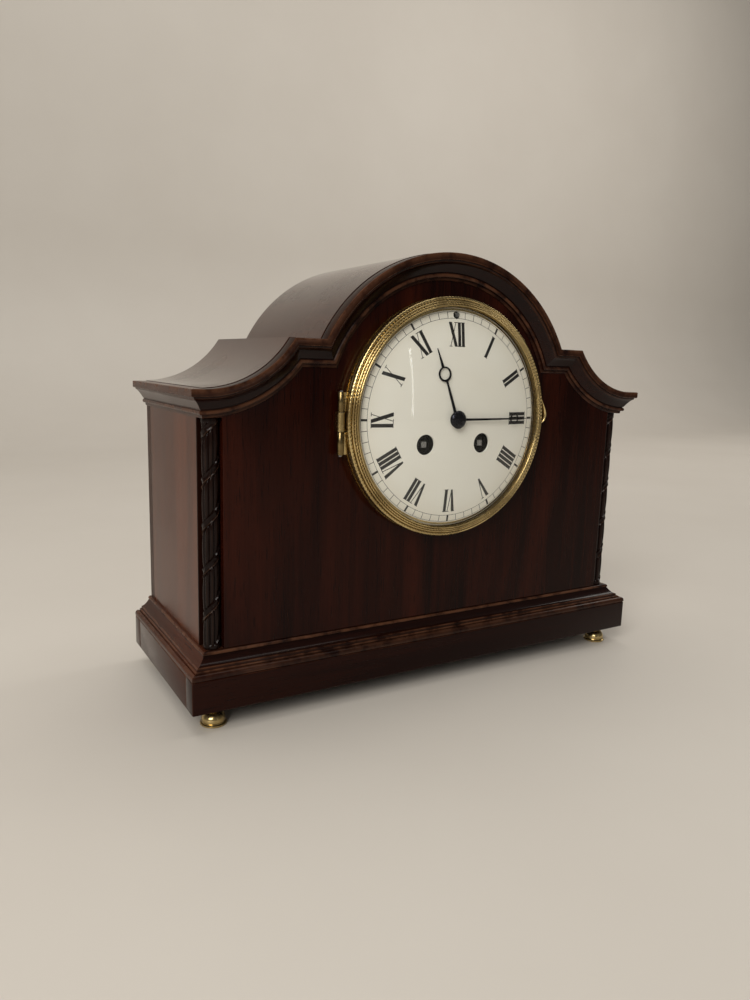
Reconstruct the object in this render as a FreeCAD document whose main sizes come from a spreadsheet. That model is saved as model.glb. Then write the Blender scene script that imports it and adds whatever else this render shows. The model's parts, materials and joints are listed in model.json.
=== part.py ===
# Mantel clock: arched mahogany case, round brass bezel, spring-driven striking movement.
# Frame: +X to the viewer's right, +Y to the back, +Z up.  The origin is on the
# table, under the middle of the clock.  Millimetres.
import FreeCAD, Part
import math
import os
import re
from FreeCAD import Vector, Rotation, Placement

FULL_TURN = 2.0 * math.pi

# ---------------------------------------------------------------- driving sizes
SIZES = {
    # case
    "foot_height": 12.0, "foot_inset": 15.5, "foot_setback": 12.0, "foot_radius": 7.5, "foot_neck": 4.0,
    "plinth_half": 165.0, "plinth_front": -60.0, "case_back": 65.0, "plinth_rise": 19.0,
    "rail": 12.0, "moulding_rise": 12.4, "moulding_step": 10.9,
    "body_half": 154.0, "panel_face": -49.5, "panel_thick": 11.5, "side_thick": 12.0,
    "back_thick": 8.0, "roof_thick": 7.0, "rebate": 10.5, "column_radius": 4.9,
    "column_top": 171.5, "wrap_pitch": 25.0, "wrap_gap": 5.0,
    "cornice_half": 162.4, "cornice_front": -58.0, "cornice_fillet": 5.0, "cornice_width": 15.5,
    "cornice_backing": 3.5,
    "arch_centre": 170.5, "arch_radius": 97.0, "shelf_level": 214.4,
    "shoulder_x": 156.0, "shoulder_centre": 246.8, "shoulder_radius": 60.0,
    # dial, bezel and doors
    "dial_centre": 169.8, "aperture": 66.0, "seat_outer": 72.6, "seat_tube": 65.8, "seat_bore": 64.7,
    "dial_radius": 64.4, "dial_front": -61.5, "dial_dome": 429.0, "dial_thick": 1.25,
    "dial_plate_front": -55.4, "dial_plate_thick": 1.0,
    "hour_hand_y": -62.7, "minute_hand_y": -64.2, "hand_thick": 0.6,
    "winding_x": 21.1, "winding_drop": 15.0, "winding_hole": 5.75, "regulator_rise": 62.0,
    "bezel_outer": 73.0, "bezel_bore": 67.2, "bezel_sight": 66.4, "bezel_back": -51.8,
    "bezel_front": -60.2, "glass_front": -69.0, "glass_thick": 1.4,
    "hinge_x": -75.6, "hinge_y": -54.4, "hinge_radius": 1.1, "knuckle_radius": 2.4,
    "door_radius": 59.4, "door_ring": 66.0, "door_thick": 2.0, "door_hinge_x": -63.5,
    "screw_inset": 6.0, "screw_low": 63.0, "screw_high": 168.0, "screw_foot": 49.5, "screw_span": 70.0,
    "strap_half": 59.2, "strap_thick": 1.6, "strap_reach": 4.0,
    "door_play": 0.6, "door_pin": 0.9, "door_knuckle": 1.9, "sound_radius": 5.0, "sound_circle": 30.0,
    # movement
    "plate_radius": 46.0, "plate_thick": 2.0, "front_plate_y": -45.0, "back_plate_y": -9.0,
    "pillar_radius": 2.5, "pillar_circle": 42.6, "pivot_radius": 0.6, "arbor_radius": 0.8,
    "pivot_play": 0.05, "wheel_thick": 1.2, "barrel_bore": 2.5, "barrel_pivot": 1.9,
    "second_wheel_y": -21.5, "centre_wheel_y": -17.0, "third_wheel_y": -13.4, "escape_y": -24.0,
    "strike_second_y": -19.4, "pin_wheel_y": -26.5, "warning_wheel_y": -30.5, "fly_y": -41.5,
    "click_reach": 12.5, "click_drop": 4.0,
    "barrel_radius": 17.5, "barrel_front": -41.5, "barrel_length": 15.5, "barrel_rim": 2.5,
    "bell_radius": 32.0, "bell_mouth": 19.0, "bell_depth": 21.0, "bell_drop": 5.0,
    "bob_radius": 14.0, "pendulum_length": 131.0, "pendulum_y": 3.0,
}

# Teeth: module, wheel teeth and pinion leaves of each mesh
GREAT = (0.45, 84, 14)
SECOND = (0.45, 66, 10)
THIRD = (0.34, 84, 8)
LAST = (0.30, 84, 8)
STRIKE_THIRD = (0.34, 60, 8)
STRIKE_LAST = (0.30, 60, 8)
CANNON = (0.5, 36, 12)
HOUR = (0.48, 40, 10)

# Half widths of a tooth, as (height in modules, half width in pitches)
WHEEL_TOOTH = ((-1.25, 0.23), (0.0, 0.215), (0.45, 0.175), (0.8, 0.10), (0.95, 0.05))
PINION_LEAF = ((-1.45, 0.11), (0.0, 0.145), (0.3, 0.11), (0.5, 0.05))

doc = FreeCAD.newDocument("MantelClock")
sheet = doc.addObject("Spreadsheet::Sheet", "Sizes")
for row, (alias, value) in enumerate(SIZES.items(), start=1):
    sheet.set(f"A{row}", alias)
    sheet.set(f"B{row}", str(value))
    sheet.setAlias(f"B{row}", alias)
doc.recompute()

PARTS = {}


def size(alias):
    """A driving size, read from the sheet."""
    return float(sheet.get(alias))


def expression(text):
    """The text with each driving size written as a reference into the sheet."""
    return re.sub(r"[a-z_]+",
                  lambda word: f"Sizes.{word.group()}" if word.group() in SIZES else word.group(), text)


def keep(label, piece):
    """Register a finished sub-part under its node name."""
    piece.Label = label
    PARTS[label] = piece
    return piece


# ---------------------------------------------------------------- building blocks
def box(name, x, y, z):
    """A box between pairs of expressions."""
    piece = doc.addObject("Part::Box", name)
    for side, place, (low, high) in zip(("Length", "Width", "Height"), "xyz", (x, y, z)):
        piece.setExpression(side, expression(f"( {high} ) - ( {low} )"))
        piece.setExpression(f"Placement.Base.{place}", expression(low))
    return piece


def rod(name, radius, low, high, x="0", z="0"):
    """A round bar along Y between two expressions."""
    piece = doc.addObject("Part::Cylinder", name)
    piece.Placement = Placement(Vector(), Rotation(Vector(1, 0, 0), -90))
    piece.setExpression("Radius", expression(radius))
    piece.setExpression("Height", expression(f"( {high} ) - ( {low} )"))
    piece.setExpression("Placement.Base.x", expression(x))
    piece.setExpression("Placement.Base.y", expression(low))
    piece.setExpression("Placement.Base.z", expression(z))
    return piece


def post(name, radius, low, high, x, y):
    """A round bar along Z between two expressions."""
    piece = doc.addObject("Part::Cylinder", name)
    piece.setExpression("Radius", expression(radius))
    piece.setExpression("Height", expression(f"( {high} ) - ( {low} )"))
    piece.setExpression("Placement.Base.x", expression(x))
    piece.setExpression("Placement.Base.y", expression(y))
    piece.setExpression("Placement.Base.z", expression(low))
    return piece


def fuse(name, pieces):
    joined = doc.addObject("Part::MultiFuse", name)
    joined.Shapes = pieces
    joined.Refine = True
    return joined


def cut(name, base, tools):
    result = doc.addObject("Part::Cut", name)
    result.Base = base
    result.Tool = tools[0] if len(tools) == 1 else fuse(f"{name}_tools", tools)
    return result


def group(name, pieces):
    """Several separate solids in one node."""
    gathered = doc.addObject("Part::Compound", name)
    gathered.Links = pieces
    return gathered


def turned(name, profile, axis, at=("0", "0", "0")):
    """A body of revolution: profile points are (radius, distance along the axis)."""
    body = doc.addObject("PartDesign::Body", name)
    role = "XY_Plane" if axis == "Y" else "XZ_Plane"
    plane = [f for f in body.Origin.OriginFeatures if f.Role == role][0]
    sketch = body.newObject("Sketcher::SketchObject", f"{name}_profile")
    sketch.AttachmentSupport = [(plane, "")]
    sketch.MapMode = "FlatFace"
    corners = [Vector(r, along, 0) for r, along in profile]
    for start, end in zip(corners, corners[1:] + corners[:1]):
        sketch.addGeometry(Part.LineSegment(start, end), False)
    turn = body.newObject("PartDesign::Revolution", f"{name}_turn")
    turn.Profile = sketch
    turn.ReferenceAxis = (sketch, ["V_Axis"])
    turn.Angle = 360
    body.Tip = turn
    for place, text in zip("xyz", at):
        body.setExpression(f"Placement.Base.{place}", expression(text))
    return body


def plate(name, edges, low, high):
    """A flat outline in the XZ plane, padded along Y between two expressions."""
    body = doc.addObject("PartDesign::Body", name)
    plane = [f for f in body.Origin.OriginFeatures if f.Role == "XZ_Plane"][0]
    sketch = body.newObject("Sketcher::SketchObject", f"{name}_outline")
    sketch.AttachmentSupport = [(plane, "")]
    sketch.MapMode = "FlatFace"
    for edge in edges:
        sketch.addGeometry(edge, False)
    pad = body.newObject("PartDesign::Pad", f"{name}_pad")
    pad.Profile = sketch
    pad.Reversed = True
    pad.setExpression("Length", expression(f"( {high} ) - ( {low} )"))
    body.Tip = pad
    body.setExpression("Placement.Base.y", expression(low))
    return body


def chain(points):
    """Straight sketch lines through 2D points, closed."""
    corners = [Vector(x, z, 0) for x, z in points]
    return [Part.LineSegment(a, b) for a, b in zip(corners, corners[1:] + corners[:1])]


def shaped(name, shape):
    piece = doc.addObject("Part::Feature", name)
    piece.Shape = shape
    return piece


# ---------------------------------------------------------------- outline of the top
def top_outline(inset, half, bottom):
    """Closed sketch edges: shoulders, shelves and arch, drawn in by inset."""
    radius = size("arch_radius") - inset
    shelf = size("shelf_level") - inset
    hollow = size("shoulder_radius") + inset
    centre = size("arch_centre")
    hollow_x, hollow_z = size("shoulder_x"), size("shoulder_centre")
    foot = math.sqrt(radius ** 2 - (shelf - centre) ** 2)
    lip = hollow_x - math.sqrt(hollow ** 2 - (hollow_z - shelf) ** 2)
    tail_x = min(half, hollow_x)
    tail_z = hollow_z - math.sqrt(hollow ** 2 - (hollow_x - tail_x) ** 2)
    edges = []
    for side in (1, -1):
        middle_x = (lip + tail_x) / 2
        middle_z = hollow_z - math.sqrt(hollow ** 2 - (hollow_x - middle_x) ** 2)
        edges.append(Part.LineSegment(Vector(side * foot, shelf, 0), Vector(side * lip, shelf, 0)))
        edges.append(Part.Arc(Vector(side * lip, shelf, 0), Vector(side * middle_x, middle_z, 0),
                              Vector(side * tail_x, tail_z, 0)))
        if half > tail_x:
            edges.append(Part.LineSegment(Vector(side * tail_x, tail_z, 0), Vector(side * half, tail_z, 0)))
        edges.append(Part.LineSegment(Vector(side * half, tail_z, 0), Vector(side * half, bottom, 0)))
    edges.append(Part.Arc(Vector(-foot, shelf, 0), Vector(0, centre + radius, 0), Vector(foot, shelf, 0)))
    edges.append(Part.LineSegment(Vector(-half, bottom, 0), Vector(half, bottom, 0)))
    return edges


# ---------------------------------------------------------------- case
def make_plinth():
    floor, top = "foot_height", "foot_height + plinth_rise"
    back = "case_back - rail"
    keep("plinth_front", box("plinth_front", ("-plinth_half", "plinth_half"),
                             ("plinth_front", "plinth_front + rail"), (floor, top)))
    rails = [box("plinth_side_left", ("-plinth_half", "-plinth_half + rail"),
                 ("plinth_front + rail", back), (floor, top)),
             box("plinth_side_right", ("plinth_half - rail", "plinth_half"),
                 ("plinth_front + rail", back), (floor, top)),
             box("plinth_back", ("-plinth_half", "plinth_half"), (back, "case_back"), (floor, top))]
    keep("plinth_rails", group("plinth_rails", rails))
    keep("base_board", box("base_board", ("-plinth_half + rail", "plinth_half - rail"),
                           ("plinth_front + rail", "case_back"), (top, f"{top} + moulding_rise")))


def moulding_section(width):
    """Offsets from the plinth face and heights of the base moulding's outer edge."""
    step, rise = size("moulding_step"), size("moulding_rise")
    return [(0.0, 0.0), (0.18 * step, 0.20 * rise), (0.31 * step, 0.32 * rise), (0.62 * step, 0.50 * rise),
            (0.80 * step, 0.70 * rise), (0.96 * step, 0.86 * rise), (step, rise), (width, rise), (width, 0.0)]


def make_base_moulding():
    base = size("foot_height") + size("plinth_rise")
    half, front, back = size("plinth_half"), size("plinth_front"), size("case_back")
    width = size("rail")
    section = moulding_section(width)

    def strip(corner, turn, length):
        wire = Part.makePolygon([Vector(0, d, z) for d, z in section + section[:1]])
        bar = Part.Face(wire).extrude(Vector(length, 0, 0))
        bar.Placement = Placement(corner, Rotation(Vector(0, 0, 1), turn))
        return bar

    def wedge(corner, points):
        wire = Part.makePolygon([corner + Vector(x, y, 0) for x, y in points + points[:1]])
        return Part.Face(wire).extrude(Vector(0, 0, size("moulding_rise")))

    left, right = Vector(-half, front, base), Vector(half, front, base)
    reach = 2 * width
    bar = strip(left, 0, 2 * half)
    bar = bar.cut(wedge(left, [(0, 0), (0, reach), (reach, reach)]))
    bar = bar.cut(wedge(right, [(0, 0), (0, reach), (-reach, reach)]))
    keep("base_moulding_front", shaped("base_moulding_front", bar))
    left_bar = strip(Vector(-half, back, base), -90, back - front)
    left_bar = left_bar.cut(wedge(left, [(0, 0), (reach, 0), (reach, reach)]))
    right_bar = strip(right, 90, back - front)
    right_bar = right_bar.cut(wedge(right, [(0, 0), (-reach, 0), (-reach, reach)]))
    sides = [shaped("base_moulding_left", left_bar), shaped("base_moulding_right", right_bar)]
    keep("base_moulding_sides", group("base_moulding_sides", sides))


def make_panels():
    floor = "foot_height + plinth_rise + moulding_rise"
    bottom = size("foot_height") + size("plinth_rise") + size("moulding_rise")
    half = size("body_half")
    board = plate("front_board", top_outline(0.0, half, bottom), "panel_face", "panel_face + panel_thick")
    holes = [rod("front_aperture", "aperture", "panel_face", "panel_face + panel_thick", z="dial_centre")]
    for side, low, high in (("left", "-body_half", "-body_half + rebate"),
                            ("right", "body_half - rebate", "body_half")):
        holes.append(box(f"rebate_{side}", (low, high), ("panel_face", "panel_face + panel_thick"),
                         (floor, "column_top")))
    keep("front_panel", cut("front_panel", board, holes))

    inner_back = "case_back - back_thick"
    top = "shoulder_centre - shoulder_radius - roof_thick"
    sides = [box("side_panel_left", ("-body_half", "-body_half + side_thick"),
                 ("panel_face + panel_thick", inner_back), (floor, top)),
             box("side_panel_right", ("body_half - side_thick", "body_half"),
                 ("panel_face + panel_thick", inner_back), (floor, top))]
    keep("side_panels", group("side_panels", sides))

    rear = plate("back_board", top_outline(0.0, half, bottom), inner_back, "case_back")
    holes = [rod("back_aperture", "door_radius + door_play", inner_back, "case_back", z="dial_centre")]
    for number, (x, z) in enumerate(screw_places()):
        holes.append(rod(f"back_screw_hole_{number}", "1.6", inner_back, "case_back", str(x), str(z)))
    keep("back_panel", cut("back_panel", rear, holes))


def screw_places():
    """Round-headed screws round the edge of the back panel."""
    side, low, high = size("body_half") - size("screw_inset"), size("screw_low"), size("screw_high")
    span, foot = size("screw_span"), size("screw_foot")
    return [(-side, low), (-side, high), (side, low), (side, high), (-span, foot), (span, foot)]


def make_screws():
    shank = size("back_thick") - 0.5
    profile = [(0, -shank), (1.5, -shank), (1.5, 0), (2.8, 0), (2.3, 1.0), (1.2, 1.5), (0, 1.6)]
    screws = [turned(f"back_screw_{n}", profile, "Y", (str(x), "case_back", str(z)))
              for n, (x, z) in enumerate(screw_places())]
    keep("back_screws", group("back_screws", screws))


def make_roof():
    """Bent arch and hollow shoulders between the front and back panels."""
    half, thick, bottom = size("body_half"), size("roof_thick"), 100.0
    low, high = "panel_face + panel_thick", "case_back - back_thick"
    skin = cut("roof_shell", plate("roof_outer", top_outline(0.0, half, bottom), low, high),
               [plate("roof_inner", top_outline(thick, half, bottom), low, high)])
    doc.recompute()
    foot = math.sqrt(size("arch_radius") ** 2 - (size("shelf_level") - size("arch_centre")) ** 2)
    middle = box("arch_span", (str(-foot), str(foot)), (low, high), ("arch_centre", "arch_centre + 110"))
    arch = doc.addObject("Part::Common", "roof_arch")
    arch.Base, arch.Tool = skin, middle
    keep("roof_arch", arch)
    wings = []
    for side, low_x, high_x in (("left", "-body_half", str(-foot)), ("right", str(foot), "body_half")):
        span = box(f"wing_span_{side}", (low_x, high_x), (low, high), ("arch_centre", "arch_centre + 110"))
        wing = doc.addObject("Part::Common", f"roof_shoulder_{side}")
        wing.Base, wing.Tool = skin, span
        wings.append(wing)
    keep("roof_shoulders", group("roof_shoulders", wings))


def make_cornice():
    """Front cornice: a bold fillet with a thin backing under it; straight side returns."""
    half = size("cornice_half")
    ridge = size("shoulder_centre") - size("shoulder_radius")
    end = ridge - size("cornice_width")
    face = "panel_face"
    bold = cut("cornice_bold", plate("bold_outer", top_outline(0.0, half, end), "cornice_front", face),
               [plate("bold_inner", top_outline(size("cornice_fillet"), half + 1, end - 1),
                      "cornice_front", face)])
    thin = cut("cornice_thin", plate("thin_outer", top_outline(0.0, half - 4, end),
                                     "panel_face - cornice_backing", face),
               [plate("thin_inner", top_outline(size("cornice_width"), half + 1, end - 1),
                      "panel_face - cornice_backing", face)])
    keep("cornice_front", fuse("cornice_front", [bold, thin]))
    returns = []
    for side, sign in (("left", -1), ("right", 1)):
        outer, inner = sign * half, sign * size("body_half")
        mid = sign * (half - 4.5)
        section = [(inner, ridge), (outer, ridge), (outer, ridge - 4), (mid, ridge - 9),
                   (mid - sign * 2.2, ridge - 15), (inner, ridge - 15.5)]
        returns.append(plate(f"cornice_{side}", chain(section), face, "case_back"))
    keep("cornice_sides", group("cornice_sides", returns))


def make_columns():
    """Wrapped reed columns standing in the front corner rebates."""
    floor = size("foot_height") + size("plinth_rise") + size("moulding_rise")
    rise, radius = size("column_top") - floor, size("column_radius")
    pitch, gap = size("wrap_pitch"), size("wrap_gap")
    profile = [(0, 0), (radius, 0), (radius, gap / 4), (radius - 0.9, gap / 2)]
    for number in range(int(rise // pitch)):
        low = gap / 2 + number * pitch
        profile += [(radius - 0.2, low + gap / 2), (radius, low + pitch / 2),
                    (radius - 0.2, low + pitch - gap / 2), (radius - 0.9, low + pitch)]
    profile += [(radius, rise - gap / 4), (radius, rise), (0, rise)]
    for side, sign in (("left", "-1"), ("right", "1")):
        at = (f"{sign} * ( body_half - rebate / 2 )", "panel_face + rebate / 2 + 0.2",
              "foot_height + plinth_rise + moulding_rise")
        keep(f"corner_column_{side}", turned(f"corner_column_{side}", profile, "Z", at))


def make_feet():
    top, radius, neck = size("foot_height"), size("foot_radius"), size("foot_neck")
    profile = [(0, 0), (radius * 0.55, 0), (radius * 0.9, top * 0.13), (radius, top * 0.3),
               (radius, top * 0.42),
               (radius * 0.8, top * 0.55), (neck, top * 0.66), (neck, top * 0.85), (neck + 1.5, top), (0,
                                                                                                       top)]
    feet = []
    for number, (x, y) in enumerate((("-plinth_half + foot_inset", "plinth_front + foot_setback"),
                                     ("plinth_half - foot_inset", "plinth_front + foot_setback"),
                                     ("-plinth_half + foot_inset", "case_back - foot_setback"),
                                     ("plinth_half - foot_inset", "case_back - foot_setback"))):
        feet.append(turned(f"foot_{number}", profile, "Z", (x, y, "0")))
    keep("feet", group("feet", feet))


# ---------------------------------------------------------------- bezel and dial
def make_seat():
    flange, tube, bore = size("seat_outer"), size("seat_tube"), size("seat_bore")
    face, inner = size("panel_face"), size("panel_face") + size("panel_thick")
    front = size("dial_plate_front") - 1.2
    profile = [(bore, front), (tube, front), (tube, face - 1.9), (flange, face - 1.9), (flange, face),
               (tube, face), (tube, inner + 1.0), (bore, inner + 1.0), (bore, face), (bore - 1.0, face),
               (bore - 1.0, size("dial_plate_front") + size("dial_plate_thick")),
               (bore, size("dial_plate_front") + size("dial_plate_thick"))]
    ring = turned("seat_ring", profile, "Y", ("0", "0", "dial_centre"))
    ear = box("seat_ear", ("hinge_x - 0.6", "-seat_outer + 2"), ("panel_face - 1.9", "panel_face"),
              ("dial_centre - 6.4", "dial_centre + 4.4"))
    knuckle = post("seat_knuckle", "knuckle_radius", "dial_centre - 6.4", "dial_centre + 4.4", "hinge_x",
                   "hinge_y")
    web = box("seat_web", ("hinge_x - 0.9", "hinge_x + 0.9"), ("hinge_y + 1.2", "panel_face"),
              ("dial_centre - 6.4", "dial_centre + 4.4"))
    solid = fuse("seat_solid", [ring, ear, knuckle, web])
    bore_hole = post("seat_knuckle_bore", "hinge_radius", "dial_centre - 7", "dial_centre + 5", "hinge_x",
                     "hinge_y")
    keep("bezel_seat", cut("bezel_seat", solid, [bore_hole]))


def make_bezel():
    outer, bore, sight = size("bezel_outer"), size("bezel_bore"), size("bezel_sight")
    back, front = size("bezel_back"), size("bezel_front")
    profile = [(bore, back), (outer, back), (outer, front + 2.2), (outer - 1.3, front + 1.0),
               (outer - 2.8, front + 0.6), (outer - 4.2, front), (sight, front), (sight, front + 0.9), (bore,
                                                                                                        front + 0.9)]
    ring = turned("bezel_ring", profile, "Y", ("0", "0", "dial_centre"))
    spans = (("low", "dial_centre - 20", "dial_centre - 6.6"),
             ("high", "dial_centre + 4.6", "dial_centre + 16"))
    pieces, bores = [ring], []
    for name, low, high in spans:
        pieces.append(post(f"bezel_knuckle_{name}", "knuckle_radius", low, high, "hinge_x", "hinge_y"))
        pieces.append(box(f"bezel_leaf_{name}", ("hinge_x", "-bezel_outer + 5.2"),
                          ("hinge_y - 1.2", "hinge_y + 1.2"), (low, high)))
        bores.append(post(f"bezel_knuckle_bore_{name}", "hinge_radius + pivot_play", low, high, "hinge_x",
                          "hinge_y"))
    # the seat's knuckle turns in this gap of the bezel
    bores.append(post("bezel_relief", "knuckle_radius + 0.35", "dial_centre - 6.6", "dial_centre + 4.6",
                      "hinge_x", "hinge_y"))
    keep("bezel", cut("bezel", fuse("bezel_solid", pieces), bores))
    keep("bezel_hinge_pin", post("bezel_hinge_pin", "hinge_radius", "dial_centre - 20.6",
                                 "dial_centre + 16.6",
                                 "hinge_x", "hinge_y"))


def make_glass():
    """Convex glass, a spherical cap with a ground rebate behind the bezel's lip."""
    edge, thick, sight = size("bezel_bore") - 0.1, size("glass_thick"), size("bezel_sight") - 0.4
    rim, apex = size("bezel_front") + 0.9, size("glass_front")
    rise = rim - 1.1 - apex
    radius = (sight ** 2 + rise ** 2) / (2 * rise)
    steps = 10
    dome = [(sight * k / steps, apex + radius - math.sqrt(radius ** 2 - (sight * k / steps) ** 2))
            for k in range(steps + 1)]
    lip = [(sight, rim), (edge, rim), (edge, rim + thick)]
    inside = [(r, y + thick) for r, y in dome[:-1]]
    keep("bezel_glass", turned("bezel_glass", dome + lip + inside[::-1], "Y", ("0", "0", "dial_centre")))


def make_catch():
    """Curved thumb piece on the bezel's right edge."""
    outline = [(72.4, -7.0), (74.6, -7.0), (76.6, -4.0), (77.2, 0.0), (76.4, 3.6), (74.4, 7.4), (72.2, 9.0),
               (73.2, 0.0)]
    points = [(x, z + size("dial_centre")) for x, z in outline]
    lug = plate("catch_lug", chain(points), "bezel_front + 2.6", "bezel_back - 0.6")
    clear = rod("catch_clear", "bezel_outer", "bezel_front", "bezel_back", z="dial_centre")
    keep("bezel_catch", cut("bezel_catch", lug, [clear]))


def make_dial():
    dome, front, edge = size("dial_dome"), size("dial_front"), size("dial_radius")
    steps = 9
    face = [(edge * k / steps, front + (edge * k / steps) ** 2 / (2 * dome)) for k in range(steps + 1)]
    thick = size("dial_thick")
    profile = face + [(r, y + thick) for r, y in face[::-1]]
    enamel = turned("dial_blank", profile, "Y", ("0", "0", "dial_centre"))
    backing = rod("dial_plate_blank", "seat_bore - 0.1", "dial_plate_front",
                  "dial_plate_front + dial_plate_thick", z="dial_centre")
    for label, blank, ease in (("enamel_dial", enamel, 0.0), ("dial_plate", backing, 0.3)):
        spots = [("centre", 3.3, 0.0, 0.0), ("regulator", 2.1, 0.0, size("regulator_rise")),
                 ("going", size("winding_hole"), size("winding_x"), -size("winding_drop")),
                 ("strike", size("winding_hole"), -size("winding_x"), -size("winding_drop"))]
        holes = [rod(f"{label}_{name}_hole", str(radius + ease), "dial_front - 2", "dial_plate_front + 3",
                     str(x), f"dial_centre + {rise}") for name, radius, x, rise in spots]
        keep(label, cut(label, blank, holes))


# ---------------------------------------------------------------- back door
SOUND_HOLES = 8


def make_back_door():
    ring = [rod("ring_blank", "door_ring", "case_back", "case_back + door_thick", z="dial_centre")]
    ring_hole = rod("ring_hole", "door_radius + door_play", "case_back", "case_back + door_thick",
                    z="dial_centre")
    knuckle = post("ring_knuckle", "door_knuckle", "dial_centre - 5", "dial_centre + 5", "door_hinge_x",
                   "case_back + door_thick")
    holes = [ring_hole, post("ring_knuckle_bore", "door_pin", "dial_centre - 15", "dial_centre + 15",
                             "door_hinge_x", "case_back + door_thick")]
    # gaps in which the door's knuckles turn
    for name, low, high in (("low", "dial_centre - 14.3", "dial_centre - 5.0"),
                            ("high", "dial_centre + 5.0", "dial_centre + 14.3")):
        holes.append(post(f"ring_gap_{name}", "2.2", low, high, "door_hinge_x", "case_back + door_thick"))
    keep("back_ring", cut("back_ring", fuse("ring_solid", ring + [knuckle]), holes))
    leaf = [rod("door_disc", "door_radius", "case_back + 0.2", "case_back + door_thick", z="dial_centre")]
    bores = []
    for name, low, high in (("low", "dial_centre - 14", "dial_centre - 5.2"),
                            ("high", "dial_centre + 5.2", "dial_centre + 14")):
        leaf.append(post(f"door_knuckle_{name}", "door_knuckle", low, high, "door_hinge_x",
                         "case_back + door_thick"))
        leaf.append(box(f"door_strap_{name}", ("door_hinge_x", "-door_radius + 8"),
                        ("case_back + door_thick + 0.05", "case_back + door_thick + 1.4"), (low, high)))
        leaf.append(box(f"door_boss_{name}", ("-door_radius + 3.5", "-door_radius + 8"),
                        ("case_back + door_thick - 1", "case_back + door_thick + 0.3"), (low, high)))
        bores.append(post(f"door_bore_{name}", "door_pin + pivot_play", low, high, "door_hinge_x",
                          "case_back + door_thick"))
    # sound holes and a turned knob
    for number in range(SOUND_HOLES):
        angle = FULL_TURN * number / SOUND_HOLES
        bores.append(rod(f"sound_hole_{number}", "sound_radius", "case_back - 1",
                         "case_back + door_thick + 1",
                         f"sound_circle * {math.cos(angle)}", f"dial_centre + sound_circle * {math.sin(angle)}"))
    knob = turned("door_knob", [(0, 66.8), (1.6, 66.8), (1.6, 67.6), (3.4, 68.2), (3.2, 69.0), (0, 69.0)],
                  "Y",
                  ("door_radius - 7", "0", "dial_centre"))
    keep("back_door", cut("back_door", fuse("door_solid", leaf + [knob]), bores))
    keep("door_hinge_pin", post("door_hinge_pin", "door_pin", "dial_centre - 14.5", "dial_centre + 14.5",
                                "door_hinge_x", "case_back + door_thick"))


def make_straps():
    straps = []
    for side, low, high in (("left", "-strap_half", "-strap_half + strap_thick"),
                            ("right", "strap_half - strap_thick", "strap_half")):
        straps.append(box(f"strap_{side}", (low, high),
                          ("dial_plate_front + dial_plate_thick", "case_back - 1"),
                          ("dial_centre - strap_reach", "dial_centre + strap_reach")))
    keep("movement_straps", group("movement_straps", straps))


# ---------------------------------------------------------------- arbor places, from the meshes
def circle_crossing(first, first_radius, second, second_radius, side):
    """The point at two given distances from two points."""
    dx, dz = second[0] - first[0], second[1] - first[1]
    span = math.hypot(dx, dz)
    along = (first_radius ** 2 - second_radius ** 2 + span ** 2) / (2 * span)
    off = side * math.sqrt(first_radius ** 2 - along ** 2)
    return (first[0] + (along * dx - off * dz) / span, first[1] + (along * dz + off * dx) / span)


def toward(start, degrees, distance):
    return (start[0] + distance * math.cos(math.radians(degrees)),
            start[1] + distance * math.sin(math.radians(degrees)))


def mesh_distance(mesh):
    module, wheel, pinion = mesh
    return module * (wheel + pinion) / 2


CENTRE = (0.0, 0.0)
GOING_BARREL = (size("winding_x"), -size("winding_drop"))
STRIKE_BARREL = (-size("winding_x"), -size("winding_drop"))
GOING_SECOND = circle_crossing(GOING_BARREL, mesh_distance(GREAT), CENTRE, mesh_distance(SECOND), -1)
THIRD_ARBOR = toward(CENTRE, 88.0, mesh_distance(THIRD))
ESCAPE_ARBOR = (0.0, THIRD_ARBOR[1] + math.sqrt(mesh_distance(LAST) ** 2 - THIRD_ARBOR[0] ** 2))
ANCHOR_ARBOR = (0.0, ESCAPE_ARBOR[1] + 11.5)
STRIKE_SECOND = circle_crossing(STRIKE_BARREL, mesh_distance(GREAT), CENTRE, mesh_distance(SECOND), 1)
PIN_ARBOR = toward(STRIKE_SECOND, 130.7, mesh_distance(SECOND))
WARNING_ARBOR = toward(PIN_ARBOR, 46.0, mesh_distance(STRIKE_THIRD))
FLY_ARBOR = toward(WARNING_ARBOR, 46.7, mesh_distance(STRIKE_LAST))
MINUTE_ARBOR = toward(CENTRE, 30.0, mesh_distance(CANNON))
HAMMER_ARBOR = (38.0, 14.0)


# ---------------------------------------------------------------- wheels
def tooth_points(teeth, module, form, phase):
    """Outline of a toothed wheel in its own plane, one tooth centred on phase."""
    pitch_radius = teeth * module / 2
    pitch = math.pi * module
    points = []
    for number in range(teeth):
        middle = phase + FULL_TURN * number / teeth
        flank = [(pitch_radius + height * module, width * pitch / pitch_radius) for height, width in form]
        points += [(radius, middle - half) for radius, half in flank]
        points += [(radius, middle + half) for radius, half in reversed(flank)]
    return [(radius * math.cos(angle), radius * math.sin(angle)) for radius, angle in points]


def toothed(teeth, module, form, phase, place, low, thick):
    corners = [Vector(x + place[0], low, z + place[1] + size("dial_centre"))
               for x, z in tooth_points(teeth, module, form, phase)]
    return Part.Face(Part.makePolygon(corners + corners[:1])).extrude(Vector(0, thick, 0))


def meshed_phase(mesh, phase, start, end, wheel_drives=True):
    """Phase of the second wheel of a pair, its gap facing the first wheel's tooth."""
    module, wheel, pinion = mesh
    first, second = (wheel, pinion) if wheel_drives else (pinion, wheel)
    direction = math.atan2(end[1] - start[1], end[0] - start[0])
    shift = module * first / 2 * (phase - direction)
    return direction + math.pi - (shift + math.pi * module / 2) / (module * second / 2)


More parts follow.
